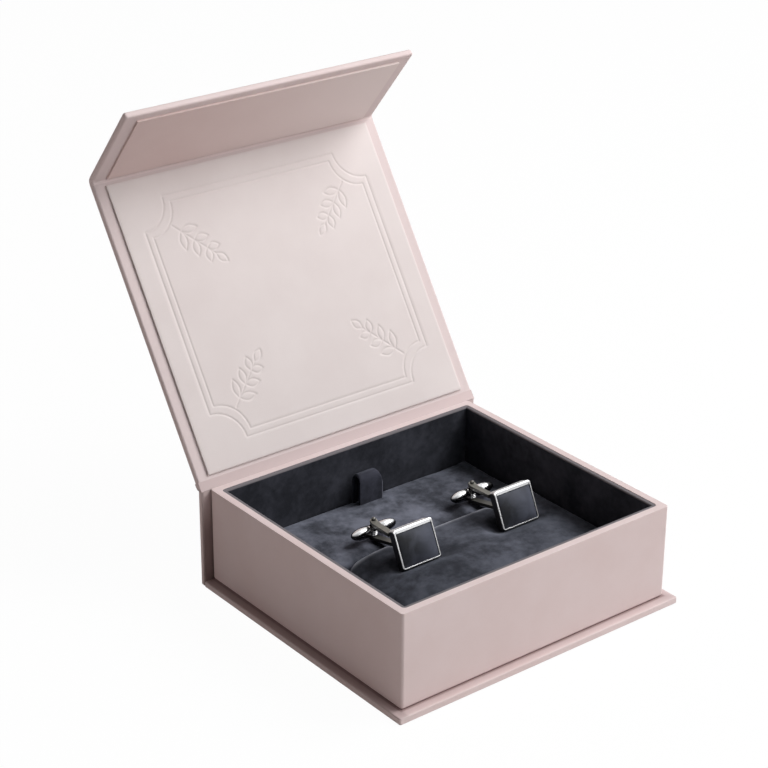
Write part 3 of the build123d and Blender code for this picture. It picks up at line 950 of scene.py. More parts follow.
# --- case ------------------------------------------------------------------------------------------
@dataclass
class Case:
    """The base, the spine, the lid and the flap, wrapped in one cover paper."""

    half_width: float = 55.1
    thick: float = 2.2
    base_y: Pair = (-50.5, 47.2)
    spine_y: Pair = (47.3, 49.5)
    spine_top: float = 33.6
    lid_y: Pair = (-50.6, 46.9)
    flap_y: Pair = (-86.0, -52.4)
    inner_z: float = 34.8
    hinge: Pair = (48.4, 34.8)
    fold: Pair = (-51.5, 34.8)
    opening: float = 123.4
    folding: float = 72.8
    corner: float = 0.9
    edge: float = 0.75
    base_corner: float = 0.6
    base_edge: float = 0.4
    hinge_pull: float = 0.62
    fold_pull: float = 0.82
    bend_steps: int = 12
    corner_steps: int = 5
    edge_steps: int = 4

    def placed(self, body: Body) -> Matrix:
        """Gives the turn from the shut, flat case to where a body stands in the open box.

        Args:
            body: The case, the lid or the flap.

        Returns:
            The turn.
        """
        matrix = Matrix.Identity(4)
        if body is Body.FLAP:
            matrix = self._turn(self.fold, self.folding) @ matrix
        if body is not Body.CASE:
            matrix = self._turn(self.hinge, -self.opening) @ matrix
        return matrix

    def point(self, spot: Pair, body: Body) -> Vector:
        """Gives where a (y, z) point of the shut, flat case stands in the open box."""
        return (self.placed(body) @ Vector((0, *spot))).yz

    @staticmethod
    def _turn(centre: Pair, angle: float) -> Matrix:
        """Gives a turn about a line along X, from +Y towards +Z."""
        move = Matrix.Translation((0, *centre))
        return move @ Matrix.Rotation(radians(angle), 4, "X") @ move.inverted()

    def panel(
        self,
        name: str,
        body: Body,
        y: Pair,
        z: Pair,
        joined: tuple[tuple[int, float], ...],
        nodes: tuple[str, ...],
        paper: Finish,
        corner: float = 0.0,
        edge: float | None = None,
    ) -> None:
        """Makes a wrapped board.

        Args:
            name: The piece's name.
            body: The body that it rides on.
            y: Its span along Y while the case is shut and flat.
            z: Its span along Z.
            joined: The axis and the place of each end that runs on into a hinge, which stays sharp.
            nodes: The nodes that it stands for.
            paper: Its cover paper.
            corner: How far its two front corners are rounded.
            edge: How far its edges are rounded, or None for as far as most.
        """
        edge = self.edge if edge is None else edge
        form = Form()
        form.block((-self.half_width, self.half_width), y, z)
        if corner:
            front = [line for line in form.edges_along(2) if line.verts[0].co.y < y[0] + edge]
            form.bevel(front, corner, self.corner_steps)
        kept = {line for axis, spot in joined for line in form.edges_at(axis, spot)}
        flat = form.edges_at(2, z[0]) + form.edges_at(2, z[1])
        uprights = [] if corner else form.edges_along(2)
        form.bevel([line for line in flat + uprights if line not in kept], edge, self.edge_steps)
        form.turn(self.placed(body))
        show(form.data(name), paper, body.value, *nodes, even=True)

    def bend(
        self,
        name: str,
        starts: tuple[Vector, Vector],
        ends: tuple[Vector, Vector],
        ways: tuple[Vector, Vector],
        pull: float,
        nodes: tuple[str, ...],
        paper: Finish,
    ) -> None:
        """Makes the wrapped bend between two panels.

        Args:
            name: The piece's name.
            starts: The first panel's end, its tighter side first.
            ends: The second panel's end, its tighter side first.
            ways: The directions in which the bend leaves the first panel and enters the second.
            pull: How tight it is.
            nodes: The nodes that it stands for.
            paper: Its cover paper.
        """
        lines = []
        for start, end in zip(starts, ends):
            corner = start + ways[0] * ((end - start).cross(ways[1]) / ways[0].cross(ways[1]))
            lines.append(curve(start, corner, end, pull, self.bend_steps))
        form = Form()
        form.slab_of(lines[0], lines[1], (-self.half_width, self.half_width))
        sides = form.edges_at(0, -self.half_width) + form.edges_at(0, self.half_width)
        ribs = [edge for edge in sides if edge.calc_length() < self.thick / 2]
        form.bevel(ribs, self.edge, self.edge_steps)
        piece = show(form.data(name), paper, None, *nodes, crease=50.0)
        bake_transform(piece)

    def build(self) -> None:
        """Builds the case."""
        outer_z = self.inner_z + self.thick
        panel_z = (self.inner_z, outer_z)
        self.panel(
            "base_cover",
            Body.CASE,
            self.base_y,
            (0.0, self.thick),
            (),
            ("base_wrap", "base_board"),
            FINISHES.base_cover,
            self.base_corner,
            self.base_edge,
        )
        self.panel(
            "spine_cover",
            Body.CASE,
            self.spine_y,
            (0.0, self.spine_top),
            ((2, self.spine_top),),
            ("spine_wrap", "spine_board"),
            FINISHES.spine_cover,
        )
        self.panel(
            "lid_cover",
            Body.LID,
            self.lid_y,
            panel_z,
            tuple((1, y) for y in self.lid_y),
            ("lid_wrap", "lid_board"),
            FINISHES.lid_cover,
        )
        self.panel(
            "flap_cover",
            Body.FLAP,
            self.flap_y,
            panel_z,
            ((1, self.flap_y[1]),),
            ("flap_wrap", "flap_board", "flap_magnets"),
            FINISHES.cover,
            self.corner,
        )
        self._lid_hinge(outer_z)
        self._flap_fold(outer_z)

    def _forward(self, body: Body) -> Vector:
        """Gives the shut case's way to the front as the body stands in the open box."""
        return (self.placed(body).to_3x3() @ Vector((0, -1, 0))).yz

    def _lid_hinge(self, outer_z: float) -> None:
        """Builds the bend between the spine and the lid.

        Args:
            outer_z: The lid's outer side in the shut, flat case.
        """
        starts = tuple(Vector((y, self.spine_top)) for y in reversed(self.spine_y))
        ends = tuple(self.point((self.lid_y[1], z), Body.LID) for z in (outer_z, self.inner_z))
        self.bend(
            "lid_hinge_bend",
            starts,
            ends,
            (Vector((0, 1)), self._forward(Body.LID)),
            self.hinge_pull,
            ("lid_hinge_cover", "lid_hinge_lining"),
            FINISHES.hinge_cover,
        )

    def _flap_fold(self, outer_z: float) -> None:
        """Builds the bend between the lid and the flap.

        Args:
            outer_z: The lid's outer side in the shut, flat case.
        """
        starts = tuple(self.point((self.lid_y[0], z), Body.LID) for z in (self.inner_z, outer_z))
        ends = tuple(self.point((self.flap_y[1], z), Body.FLAP) for z in (self.inner_z, outer_z))
        self.bend(
            "flap_fold_bend",
            starts,
            ends,
            (self._forward(Body.LID), self._forward(Body.FLAP)),
            self.fold_pull,
            ("flap_hinge_cover", "flap_hinge_lining"),
            FINISHES.cover,
        )


# --- lining cards ----------------------------------------------------------------------------------
@dataclass
class Debossing:
    """Fine lines pressed into a card: a ruled border with cut-in corners and a sprig in each."""

    half_width: float
    height: float
    margin: float = 7.5
    cut_in: float = 10.0
    second_rule: float = 2.2
    sprig_start: float = 4.0
    sprig_length: float = 17.0
    leaf_length: float = 6.2
    leaf_swell: float = 1.25
    leaf_pairs: int = 3
    leaf_places: Pair = (0.2, 0.3)
    leaf_lean: float = 48.0
    leaf_shrink: float = 0.13
    tip_leaf: float = 0.75
    line: float = 0.42
    depth: float = 0.2
    steps: int = 10

    def strokes(self) -> np.ndarray:
        """Gives the lines as straight parts.

        Returns:
            One row for each part: its start and its end.
        """
        rows: list[tuple[Pair, Pair]] = []
        for inset in (self.margin, self.margin + self.second_rule):
            rows += self._border(inset)
        for side in (-1, 1):
            for end in (-1, 1):
                rows += self._sprig(side, end)
        return np.array(rows).reshape(-1, 4)

    def _border(self, inset: float) -> list[tuple[Pair, Pair]]:
        """Gives one rule of the border, whose corners curve inwards.

        Args:
            inset: How far it lies from the card's edge.

        Returns:
            The start and the end of each straight part.
        """
        half_x, half_y = self.half_width - inset, self.height / 2 - inset
        line: list[Pair] = []
        for quarter in range(4):
            side = 1 if quarter in (0, 3) else -1
            end = 1 if quarter in (0, 1) else -1
            for step in range(self.steps + 1):
                share = step / self.steps
                angle = radians(90 * (share if quarter in (0, 2) else 1 - share))
                x, y = half_x - self.cut_in * sin(angle), half_y - self.cut_in * cos(angle)
                line.append((side * x, end * y))
        return [(line[index - 1], line[index]) for index in range(len(line))]

    def _sprig(self, side: int, end: int) -> list[tuple[Pair, Pair]]:
        """Gives one corner's sprig: a stem with paired leaves and one at its tip.

        Args:
            side: 1 for the right corner, -1 for the left.
            end: 1 for the upper corner, -1 for the lower.

        Returns:
            The start and the end of each straight part.
        """
        x, y = self.half_width - self.margin, self.height / 2 - self.margin
        corner = Vector((side * x, end * y))
        along = Vector((-side, -end)).normalized()
        start = corner + along * (self.cut_in + self.sprig_start)
        tip = start + along * self.sprig_length
        rows = [(tuple(start), tuple(tip))]
        for pair in range(self.leaf_pairs):
            place = self.leaf_places[0] + self.leaf_places[1] * pair
            root = start + along * (self.sprig_length * place)
            for lean in (-self.leaf_lean, self.leaf_lean):
                heading = along.copy()
                heading.rotate(Matrix.Rotation(radians(lean), 2))
                rows += self._leaf(root, heading, self.leaf_length * (1 - self.leaf_shrink * pair))
        return rows + self._leaf(tip, along, self.leaf_length * self.tip_leaf)

    def _leaf(self, root: Vector, heading: Vector, length: float) -> list[tuple[Pair, Pair]]:
        """Gives one pointed leaf's outline.

        Args:
            root: Where it starts.
            heading: The way that it points.
            length: How long it is.

        Returns:
            The start and the end of each straight part.
        """
        across = Vector((-heading.y, heading.x))
        rows = []
        for edge in (-1, 1):
            line = []
            for step in range(self.steps + 1):
                swell = edge * self.leaf_swell * sin(pi * step / self.steps)
                spot = root + heading * (length * step / self.steps) + across * swell
                line.append(tuple(spot))
            rows += list(zip(line, line[1:]))
        return rows

    def distance(self, points: np.ndarray) -> np.ndarray:
        """Gives how far points lie from the nearest line.

        Args:
            points: One row of X and Y for each point.

        Returns:
            The distances.
        """
        nearest = np.full(len(points), 1e9)
        for x0, y0, x1, y1 in self.strokes():
            run = np.array((x1 - x0, y1 - y0))
            offset = points - (x0, y0)
            share = np.clip(offset @ run / max(run @ run, 1e-9), 0, 1)
            gap = offset - share[:, None] * run
            nearest = np.minimum(nearest, np.hypot(gap[:, 0], gap[:, 1]))
        return nearest


@dataclass
class LidCard:
    """The raised card in the lid, with its debossed border."""

    case: Case
    half_width: float = 51.0
    y: Pair = (-49.6, 45.7)
    z: Pair = (34.1, 34.8)
    cell: float = 1.0
    finer_within: Pair = (1.5, 0.8)
    edge: float = 0.14

    def build(self) -> None:
        """Builds the card."""
        height = self.y[1] - self.y[0]
        design = Debossing(self.half_width, height)
        form = Form()
        width = 2 * self.half_width
        form.grid(width, height, round(width / self.cell), round(height / self.cell))
        for reach in self.finer_within:
            self._refine(form, design, reach)
        self._press(form, design)
        form.bevel(form.thicken(self.z[0] - self.z[1]), self.edge)
        middle = (self.y[0] + self.y[1]) / 2
        form.turn(Matrix.Translation((0, middle, self.z[0])) @ Matrix.Rotation(pi, 4, "X"))
        form.turn(self.case.placed(Body.LID))
        mesh = form.data("lid_lining_card")
        show(mesh, FINISHES.liner, Body.LID.value, "lid_liner", crease=55.0)

    @staticmethod
    def _spots(form: Form) -> np.ndarray:
        """Gives the X and Y of every vertex."""
        return np.array([vert.co[:2] for vert in form.mesh.verts])

    def _refine(self, form: Form, design: Debossing, reach: float) -> None:
        """Halves the cells near the lines.

        Args:
            form: The face.
            design: The lines.
            reach: How far from a line a cell is still halved.
        """
        form.mesh.verts.ensure_lookup_table()
        near = design.distance(self._spots(form)) < reach
        picked = form.edges(lambda edge: all(near[vert.index] for vert in edge.verts))
        bmesh.ops.subdivide_edges(form.mesh, edges=picked, cuts=1, use_grid_fill=True)
        form.mesh.verts.index_update()

    def _press(self, form: Form, design: Debossing) -> None:
        """Presses the lines into the face.

        Args:
            form: The face.
            design: The lines.
        """
        away = design.distance(self._spots(form))
        share = np.clip(1 - away / design.line, 0, 1)
        pressed = design.depth * share * share * (3 - 2 * share)
        for vert, depth in zip(form.mesh.verts, pressed):
            vert.co.z -= depth


@dataclass
class FlapCard:
    """The raised card in the flap."""

    case: Case
    half_width: float = 50.2
    y: Pair = (-83.2, -52.6)
    z: Pair = (34.1, 34.8)
    edge: float = 0.18

    def build(self) -> None:
        """Builds the card."""
        form = Form()
        form.block((-self.half_width, self.half_width), self.y, self.z)
        form.bevel(form.edges_at(2, self.z[0]), self.edge)
        form.turn(self.case.placed(Body.FLAP))
        mesh = form.data("flap_lining_card")
        show(mesh, FINISHES.flap_liner, Body.FLAP.value, "flap_liner", even=True)


# --- tray ------------------------------------------------------------------------------------------
@dataclass
class Tray:
    """The tray's paper-covered walls and the velvet panels inside them."""

    half_x: float = TRAY_HALF[0]
    half_y: float = TRAY_HALF[1]
    wall: float = 2.4
    z: Pair = (2.2, 33.8)
    cavity_z: float = 2.3
    outer_corner: float = 0.9
    inner_corner: float = 1.2
    rim_edge: float = 0.8
    inner_rim_edge: float = 1.05
    foot_edge: float = 0.9
    lining: float = 1.3
    lining_z: Pair = (3.4, 33.65)
    lining_edge: float = 0.5
    lining_overlap: float = 0.5
    steps: int = 6
    lower_steps: int = 5

    def build(self) -> None:
        """Builds the walls and the panels."""
        self._walls()
        skin_x, skin_y = self.half_x - self.wall, self.half_y - self.wall
        well_y = skin_y - self.lining
        for side, name in ((-1, "front"), (1, "back")):
            y = sorted((side * (skin_y + self.lining_overlap), side * well_y))
            self._panel(name, (-skin_x - self.lining_overlap, skin_x + self.lining_overlap), y, side)
        for side, name in ((-1, "left"), (1, "right")):
            x = sorted((side * (skin_x + self.lining_overlap), side * (skin_x - self.lining)))
            self._panel(name, x, (-well_y - self.lining_overlap, well_y + self.lining_overlap))

    def _walls(self) -> None:
        """Builds the covered walls as one open-topped shell."""
        form = Form()
        form.block((-self.half_x, self.half_x), (-self.half_y, self.half_y), self.z)
        form.pocket(self.wall, self.z[1] - self.cavity_z)
        middle = (self.half_x - self.wall / 2, self.half_y - self.wall / 2)
        for outside, corner, edge in (
            (True, self.outer_corner, self.rim_edge),
            (False, self.inner_corner, self.inner_rim_edge),
        ):
            form.bevel(beyond(form.edges_along(2), middle, outside), corner, self.steps)
            form.bevel(beyond(form.edges_at(2, self.z[1]), middle, outside), edge, self.steps)
        form.bevel(form.edges_at(2, self.z[0]), self.foot_edge, self.lower_steps)
        walls = [f"tray_{side}_wall" for side in ("front", "back", "left", "right")]
        nodes = ("tray_wrap", "tray_keepers", *walls)
        show(form.data("tray_cover"), FINISHES.cover, Body.CASE.value, *nodes, even=True)

    def _panel(self, name: str, x: Pair, y: Pair, rounded: int = 0) -> None:
        """Builds one velvet panel, wrapped over its top edge.

        Args:
            name: The wall that it lines.
            x: Its span along X.
            y: Its span along Y.
            rounded: 1 or -1 where its uprights at the highest or lowest Y fit the round corners.
        """
        form = Form()
        form.block(x, y, self.lining_z)
        far = max(map(abs, y)) - TOUCH
        corners = [edge for edge in form.edges_along(2) if rounded * edge.verts[0].co.y > far]
        form.bevel(corners, self.inner_corner, self.steps)
        form.bevel(form.edges_at(2, self.lining_z[1]), self.lining_edge, self.lower_steps)
        mesh = form.data(f"{name}_lining_panel")
        show(mesh, FINISHES.lining, Body.CASE.value, f"lining_{name}", even=True)


# --- insert ----------------------------------------------------------------------------------------
@dataclass(frozen=True)
class Press:
    """Something hard that lies on a pad: a bar between two points, seen from above."""

    start: Triple
    end: Triple
    half: float
    slope: float

    def limit(self, points: np.ndarray) -> np.ndarray:
        """Gives how high the pad may come at each point.

        Args:
            points: One row of X, Y and Z for each point.

        Returns:
            The heights.
        """
        start, end = np.array(self.start), np.array(self.end)
        run = (end - start)[:2]
        share = np.clip((points[:, :2] - start[:2]) @ run / max(run @ run, 1e-9), 0, 1)
        nearest = start[:2] + share[:, None] * run
        away = np.linalg.norm(points[:, :2] - nearest, axis=1)
        return start[2] + share * (end[2] - start[2]) + self.slope * np.maximum(away - self.half, 0)


@dataclass
class Padding:
    """A stuffed velvet pad, swollen by a cloth simulation.

    The pad is pinned up to "pinned" voxels over its base and can be dented from "soft_from" up. The
    simulation runs on a pad that is enlarged, and its largest rise is then scaled to "swell".
    """

    name: str
    node: str
    fill: float
    swell: float
    base_z: float
    voxel: float = 0.95
    enlarge: float = 8.0
    pressure: float = 4.0
    frames: int = 20
    firmness: float = 4.0
    pinned: float = 1.2
    soft_from: float = 4.0
    crown_from: float = 2.0
    presses: tuple[Press, ...] = ()
    thin_end: Triple = (-99.0, 1.0, 0.0)
    limits: tuple[Pair, Pair] = tuple((-reach, reach) for reach in LINING_REACH)

    def build(self, form: Form, velvet: Finish) -> None:
        """Swells a form and dresses it.

        Args:
            form: The pad's slack shape.
            velvet: Its velvet.
        """
        mesh = self._remeshed(form)
        before = self._points(mesh)
        after = before + self._growth(mesh, before)
        self._set_points(mesh, self._pressed(self._thinned(self._kept_in(after))) * MM)
        piece = show(mesh, velvet, None, self.node, crease=180.0)
        finer = piece.modifiers.new("finer", "SUBSURF")
        finer.levels = finer.render_levels = 1
        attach(piece, Body.INSERT.value)

    @staticmethod
    def _points(mesh: bpy.types.Mesh) -> np.ndarray:
        """Gives a mesh's vertices.

        Args:
            mesh: The mesh.

        Returns:
            One row of X, Y and Z for each vertex.
        """
        flat = np.empty(len(mesh.vertices) * 3)
        mesh.vertices.foreach_get("co", flat)
        return flat.reshape(-1, 3)

    @staticmethod
    def _set_points(mesh: bpy.types.Mesh, points: np.ndarray) -> None:
        """Moves a mesh's vertices."""
        mesh.vertices.foreach_set("co", points.ravel())
        mesh.update()

    @staticmethod
    def _evaluated(piece: bpy.types.Object) -> bpy.types.Mesh:
        """Gives an object's mesh as its modifiers leave it."""
        graph = bpy.context.evaluated_depsgraph_get()
        return bpy.data.meshes.new_from_object(piece.evaluated_get(graph))

    def _remeshed(self, form: Form) -> bpy.types.Mesh:
        """Gives the form as a mesh of even small faces, in millimetres.

        Args:
            form: The pad's slack shape.

        Returns:
            The mesh.
        """
        mesh = bpy.data.meshes.new(self.name)
        bmesh.ops.recalc_face_normals(form.mesh, faces=list(form.mesh.faces))
        form.mesh.to_mesh(mesh)
        form.mesh.free()
        rough = new_object("slack", mesh)
        remesh = rough.modifiers.new("even", "REMESH")
        remesh.mode = "VOXEL"
        remesh.voxel_size = self.voxel
        even = self._evaluated(rough)
        bpy.data.objects.remove(rough)
        bpy.data.meshes.remove(mesh)
        even.name = self.name
        return even

    def _growth(self, mesh: bpy.types.Mesh, points: np.ndarray) -> np.ndarray:
        """Gives how far each vertex moves as the pad swells.

        Args:
            mesh: The slack pad.
            points: Its vertices.

        Returns:
            The moves, the largest of which is the pad's swell.
        """
        scale = self.enlarge * MM
        big = mesh.copy()
        self._set_points(big, points * scale)
        cloth = new_object("swelling", big)
        scene = bpy.context.scene
        pinned = cloth.vertex_groups.new(name="pinned")
        held = np.flatnonzero(points[:, 2] < self.base_z + self.pinned * self.voxel)
        pinned.add(held.tolist(), 1.0, "REPLACE")
        modifier = cloth.modifiers.new("swelling", "CLOTH")
        modifier.settings.vertex_group_mass = "pinned"
        modifier.settings.use_pressure = True
        modifier.settings.uniform_pressure_force = self.pressure
        modifier.settings.effector_weights.gravity = 0
        for number in range(1, self.frames + 1):
            scene.frame_set(number)
        swollen = self._evaluated(cloth)
        moved = self._points(swollen) / scale - points
        scene.frame_set(1)
        bpy.data.objects.remove(cloth)
        bpy.data.meshes.remove(big)
        bpy.data.meshes.remove(swollen)
        moved *= self.swell / max(float(moved[:, 2].max()), 1e-6)
        return moved

    def _kept_in(self, points: np.ndarray) -> np.ndarray:
        """Keeps the pad between the linings.

        Args:
            points: The pad's vertices.

        Returns:
            Their new places.
        """
        kept = points.copy()
        for axis, (low, high) in enumerate(self.limits):
            kept[:, axis] = np.clip(kept[:, axis], low, high)
        kept[:, 2] = np.maximum(kept[:, 2], self.base_z)
        return kept

    def _thinned(self, points: np.ndarray) -> np.ndarray:
        """Lets the pad run out softly towards its free end: a place along X, a reach and a drop.

        Args:
            points: The pad's vertices.

        Returns:
            Their new places.
        """
        place, reach, drop = self.thin_end
        share = np.clip((points[:, 0] - place) / reach, 0, 1)
        height = (points[:, 2] - self.base_z) / np.ptp(points[:, 2])
        points[:, 2] -= drop * (1 - share) ** 2 * height
        return points

    def _pressed(self, points: np.ndarray) -> np.ndarray:
        """Lowers the pad softly where something hard lies on it. The clip keeps exp() in range.

        Args:
            points: The pad's vertices.

        Returns:
            Their new places.
        """
        height = points[:, 2]
        for press in self.presses:
            gap = np.clip((height - press.limit(points)) * self.firmness, -30, 30)
            dented = height - np.log1p(np.exp(gap)) / self.firmness
            height = np.where(height > self.base_z + self.soft_from, dented, height)
        points[:, 2] = height
        return points


@dataclass
class Insert:
    """The lift-out insert: its two pads and its pull ribbon."""

    half_x: float = 47.95
    half_y: float = 43.15
    pad_z: float = 4.7
    rear_top: float = 15.0
    rear_swell: float = 1.0
    cushion_x: float = -30.55
    cushion_y: float = 10.25
    cushion_top: float = 18.2
    cushion_swell: float = 1.3
    cushion_corner: float = 7.0
    crease: float = 0.3
    wall_edge: float = 1.4
    free_edge: float = 2.4
    end_round: Pair = (20.0, 4.6)
    cushion_fill: float = 0.85
    rear_fill: float = 0.8
    give: float = 0.1
    corner_steps: int = 8
    free_steps: int = 6
    wall_steps: int = 4

    def build(self, cufflinks: list[Cufflink]) -> None:
        """Builds the pads and the ribbon.

        Args:
            cufflinks: The cufflinks that press into them.
        """
        self._cushion(cufflinks)
        self._rear_pad(cufflinks)
        PullRibbon().build()

    def _cushion(self, cufflinks: list[Cufflink]) -> None:
        """Builds the front cushion.

        Args:
            cufflinks: The cufflinks that press into it.
        """
        form = Form()
        x, y = (self.cushion_x, self.half_x), (-self.half_y, self.cushion_y)
        form.block(x, y, (self.pad_z, self.cushion_top))
        uprights = form.edges_along(2)
        corner = [edge for edge in uprights if edge.verts[0].co.x < 0 < edge.verts[0].co.y]
        form.bevel(corner, self.cushion_corner, self.corner_steps)
        form.bevel(form.edges_at(2, self.cushion_top), self.free_edge, self.free_steps)
        presses = tuple(press for cufflink in cufflinks for press in cufflink.presses())
        pad = Padding(
            "front_cushion_velvet",
            "front_cushion",
            self.cushion_fill,
            self.cushion_swell,
            self.pad_z,
            presses=presses,
            thin_end=(self.cushion_x, *self.end_round),
            limits=(
                (self.cushion_x - self.give, LINING_REACH[0]),
                (-LINING_REACH[1], self.cushion_y + self.give),
            ),
        )
        pad.build(form, FINISHES.cushion)

    def _rear_pad(self, cufflinks: list[Cufflink]) -> None:
        """Builds the lower pad behind and to the left of the cushion.

        Args:
            cufflinks: The cufflinks that press into it.
        """
        form = Form()
        left, back = self.cushion_x - self.crease, self.cushion_y + self.crease
        z = (self.pad_z, self.rear_top)
        form.block((-self.half_x, left), (-self.half_y, back), z)
        form.pull([form.outermost(1)], (0, self.half_y - back, 0))
        side = max(
            (face for face in form.mesh.faces if face.calc_center_median().y > back),
            key=lambda face: face.calc_center_median().x,
        )
        form.pull([side], (self.half_x - left, 0, 0))
        rim = [
            edge
            for edge in form.edges_at(2, self.rear_top)
            if any(abs(face.normal.z) < 0.5 for face in edge.link_faces)
        ]
        form.bevel(rim, self.wall_edge, self.wall_steps)
        presses = tuple(press for cufflink in cufflinks for press in cufflink.pivot_presses())
        sizes = (self.rear_fill, self.rear_swell, self.pad_z)
        Padding("rear_pad_velvet", "rear_pad", *sizes, presses=presses).build(form, FINISHES.pad)


@dataclass
class PullRibbon:
    """The velvet ribbon that lifts the insert, folded to a loop."""

    x: float = 3.5
    y: float = 39.55
    width: float = 9.2
    cut_width: float = 10.0
    thick: float = 0.8
    loop: float = 5.0
    foot_z: float = 4.7
    top_z: float = 26.2
    left_round: Pair = (0.8, 0.8)
    right_round: Pair = (2.4, 4.2)
    free_z: float = 14.0
    soft_edge: float = 0.25
    steps: int = 14
    arch_steps: int = 12
    columns: int = 24
    edge_steps: int = 3

    def line(self) -> list[Pair]:
        """Gives the ribbon's middle line from its front foot over the loop to its back foot.

        Returns:
            The (y, z) points.
        """
        radius = (self.loop - self.thick) / 2
        arch_z = self.top_z - self.loop / 2
        rise = arch_z - self.foot_z
        legs = [self.foot_z + rise * step / self.steps for step in range(self.steps)]
        front = [(self.y - radius, z) for z in legs]
        back = [(self.y + radius, z) for z in reversed(legs)]
        angles = [pi * step / self.arch_steps for step in range(self.arch_steps + 1)]
        over = [(self.y - radius * cos(angle), arch_z + radius * sin(angle)) for angle in angles]
        return front + over + back

    def build(self) -> None:
        """Builds the ribbon."""
        line = self.line()
        length = sum(hypot(b[0] - a[0], b[1] - a[1]) for a, b in zip(line, line[1:]))
        form = Form()
        low, high = self.x - self.width / 2, self.x + self.width / 2
        form.ribbon_of(line, (low, high), self.columns)
        for edge, (reach, drop) in ((low, self.left_round), (high, self.right_round)):
            for vert in form.mesh.verts:
                inside = abs(vert.co.x - edge) / reach
                if inside < 1 and vert.co.z > self.free_z:
                    share = (vert.co.z - self.free_z) / (self.top_z - self.free_z)
                    vert.co.z -= drop * (1 - (1 - (1 - inside) ** 2) ** 0.5) * share**2
        bmesh.ops.recalc_face_normals(form.mesh, faces=list(form.mesh.faces))
        bmesh.ops.solidify(form.mesh, geom=list(form.mesh.faces), thickness=self.thick)
        form.bevel(form.steep_edges(), self.soft_edge, self.edge_steps)
        mesh = form.data("pull_ribbon_velvet")
        piece = show(mesh, FINISHES.ribbon, None, "pull_ribbon", crease=60.0)
        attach(piece, Body.INSERT.value)


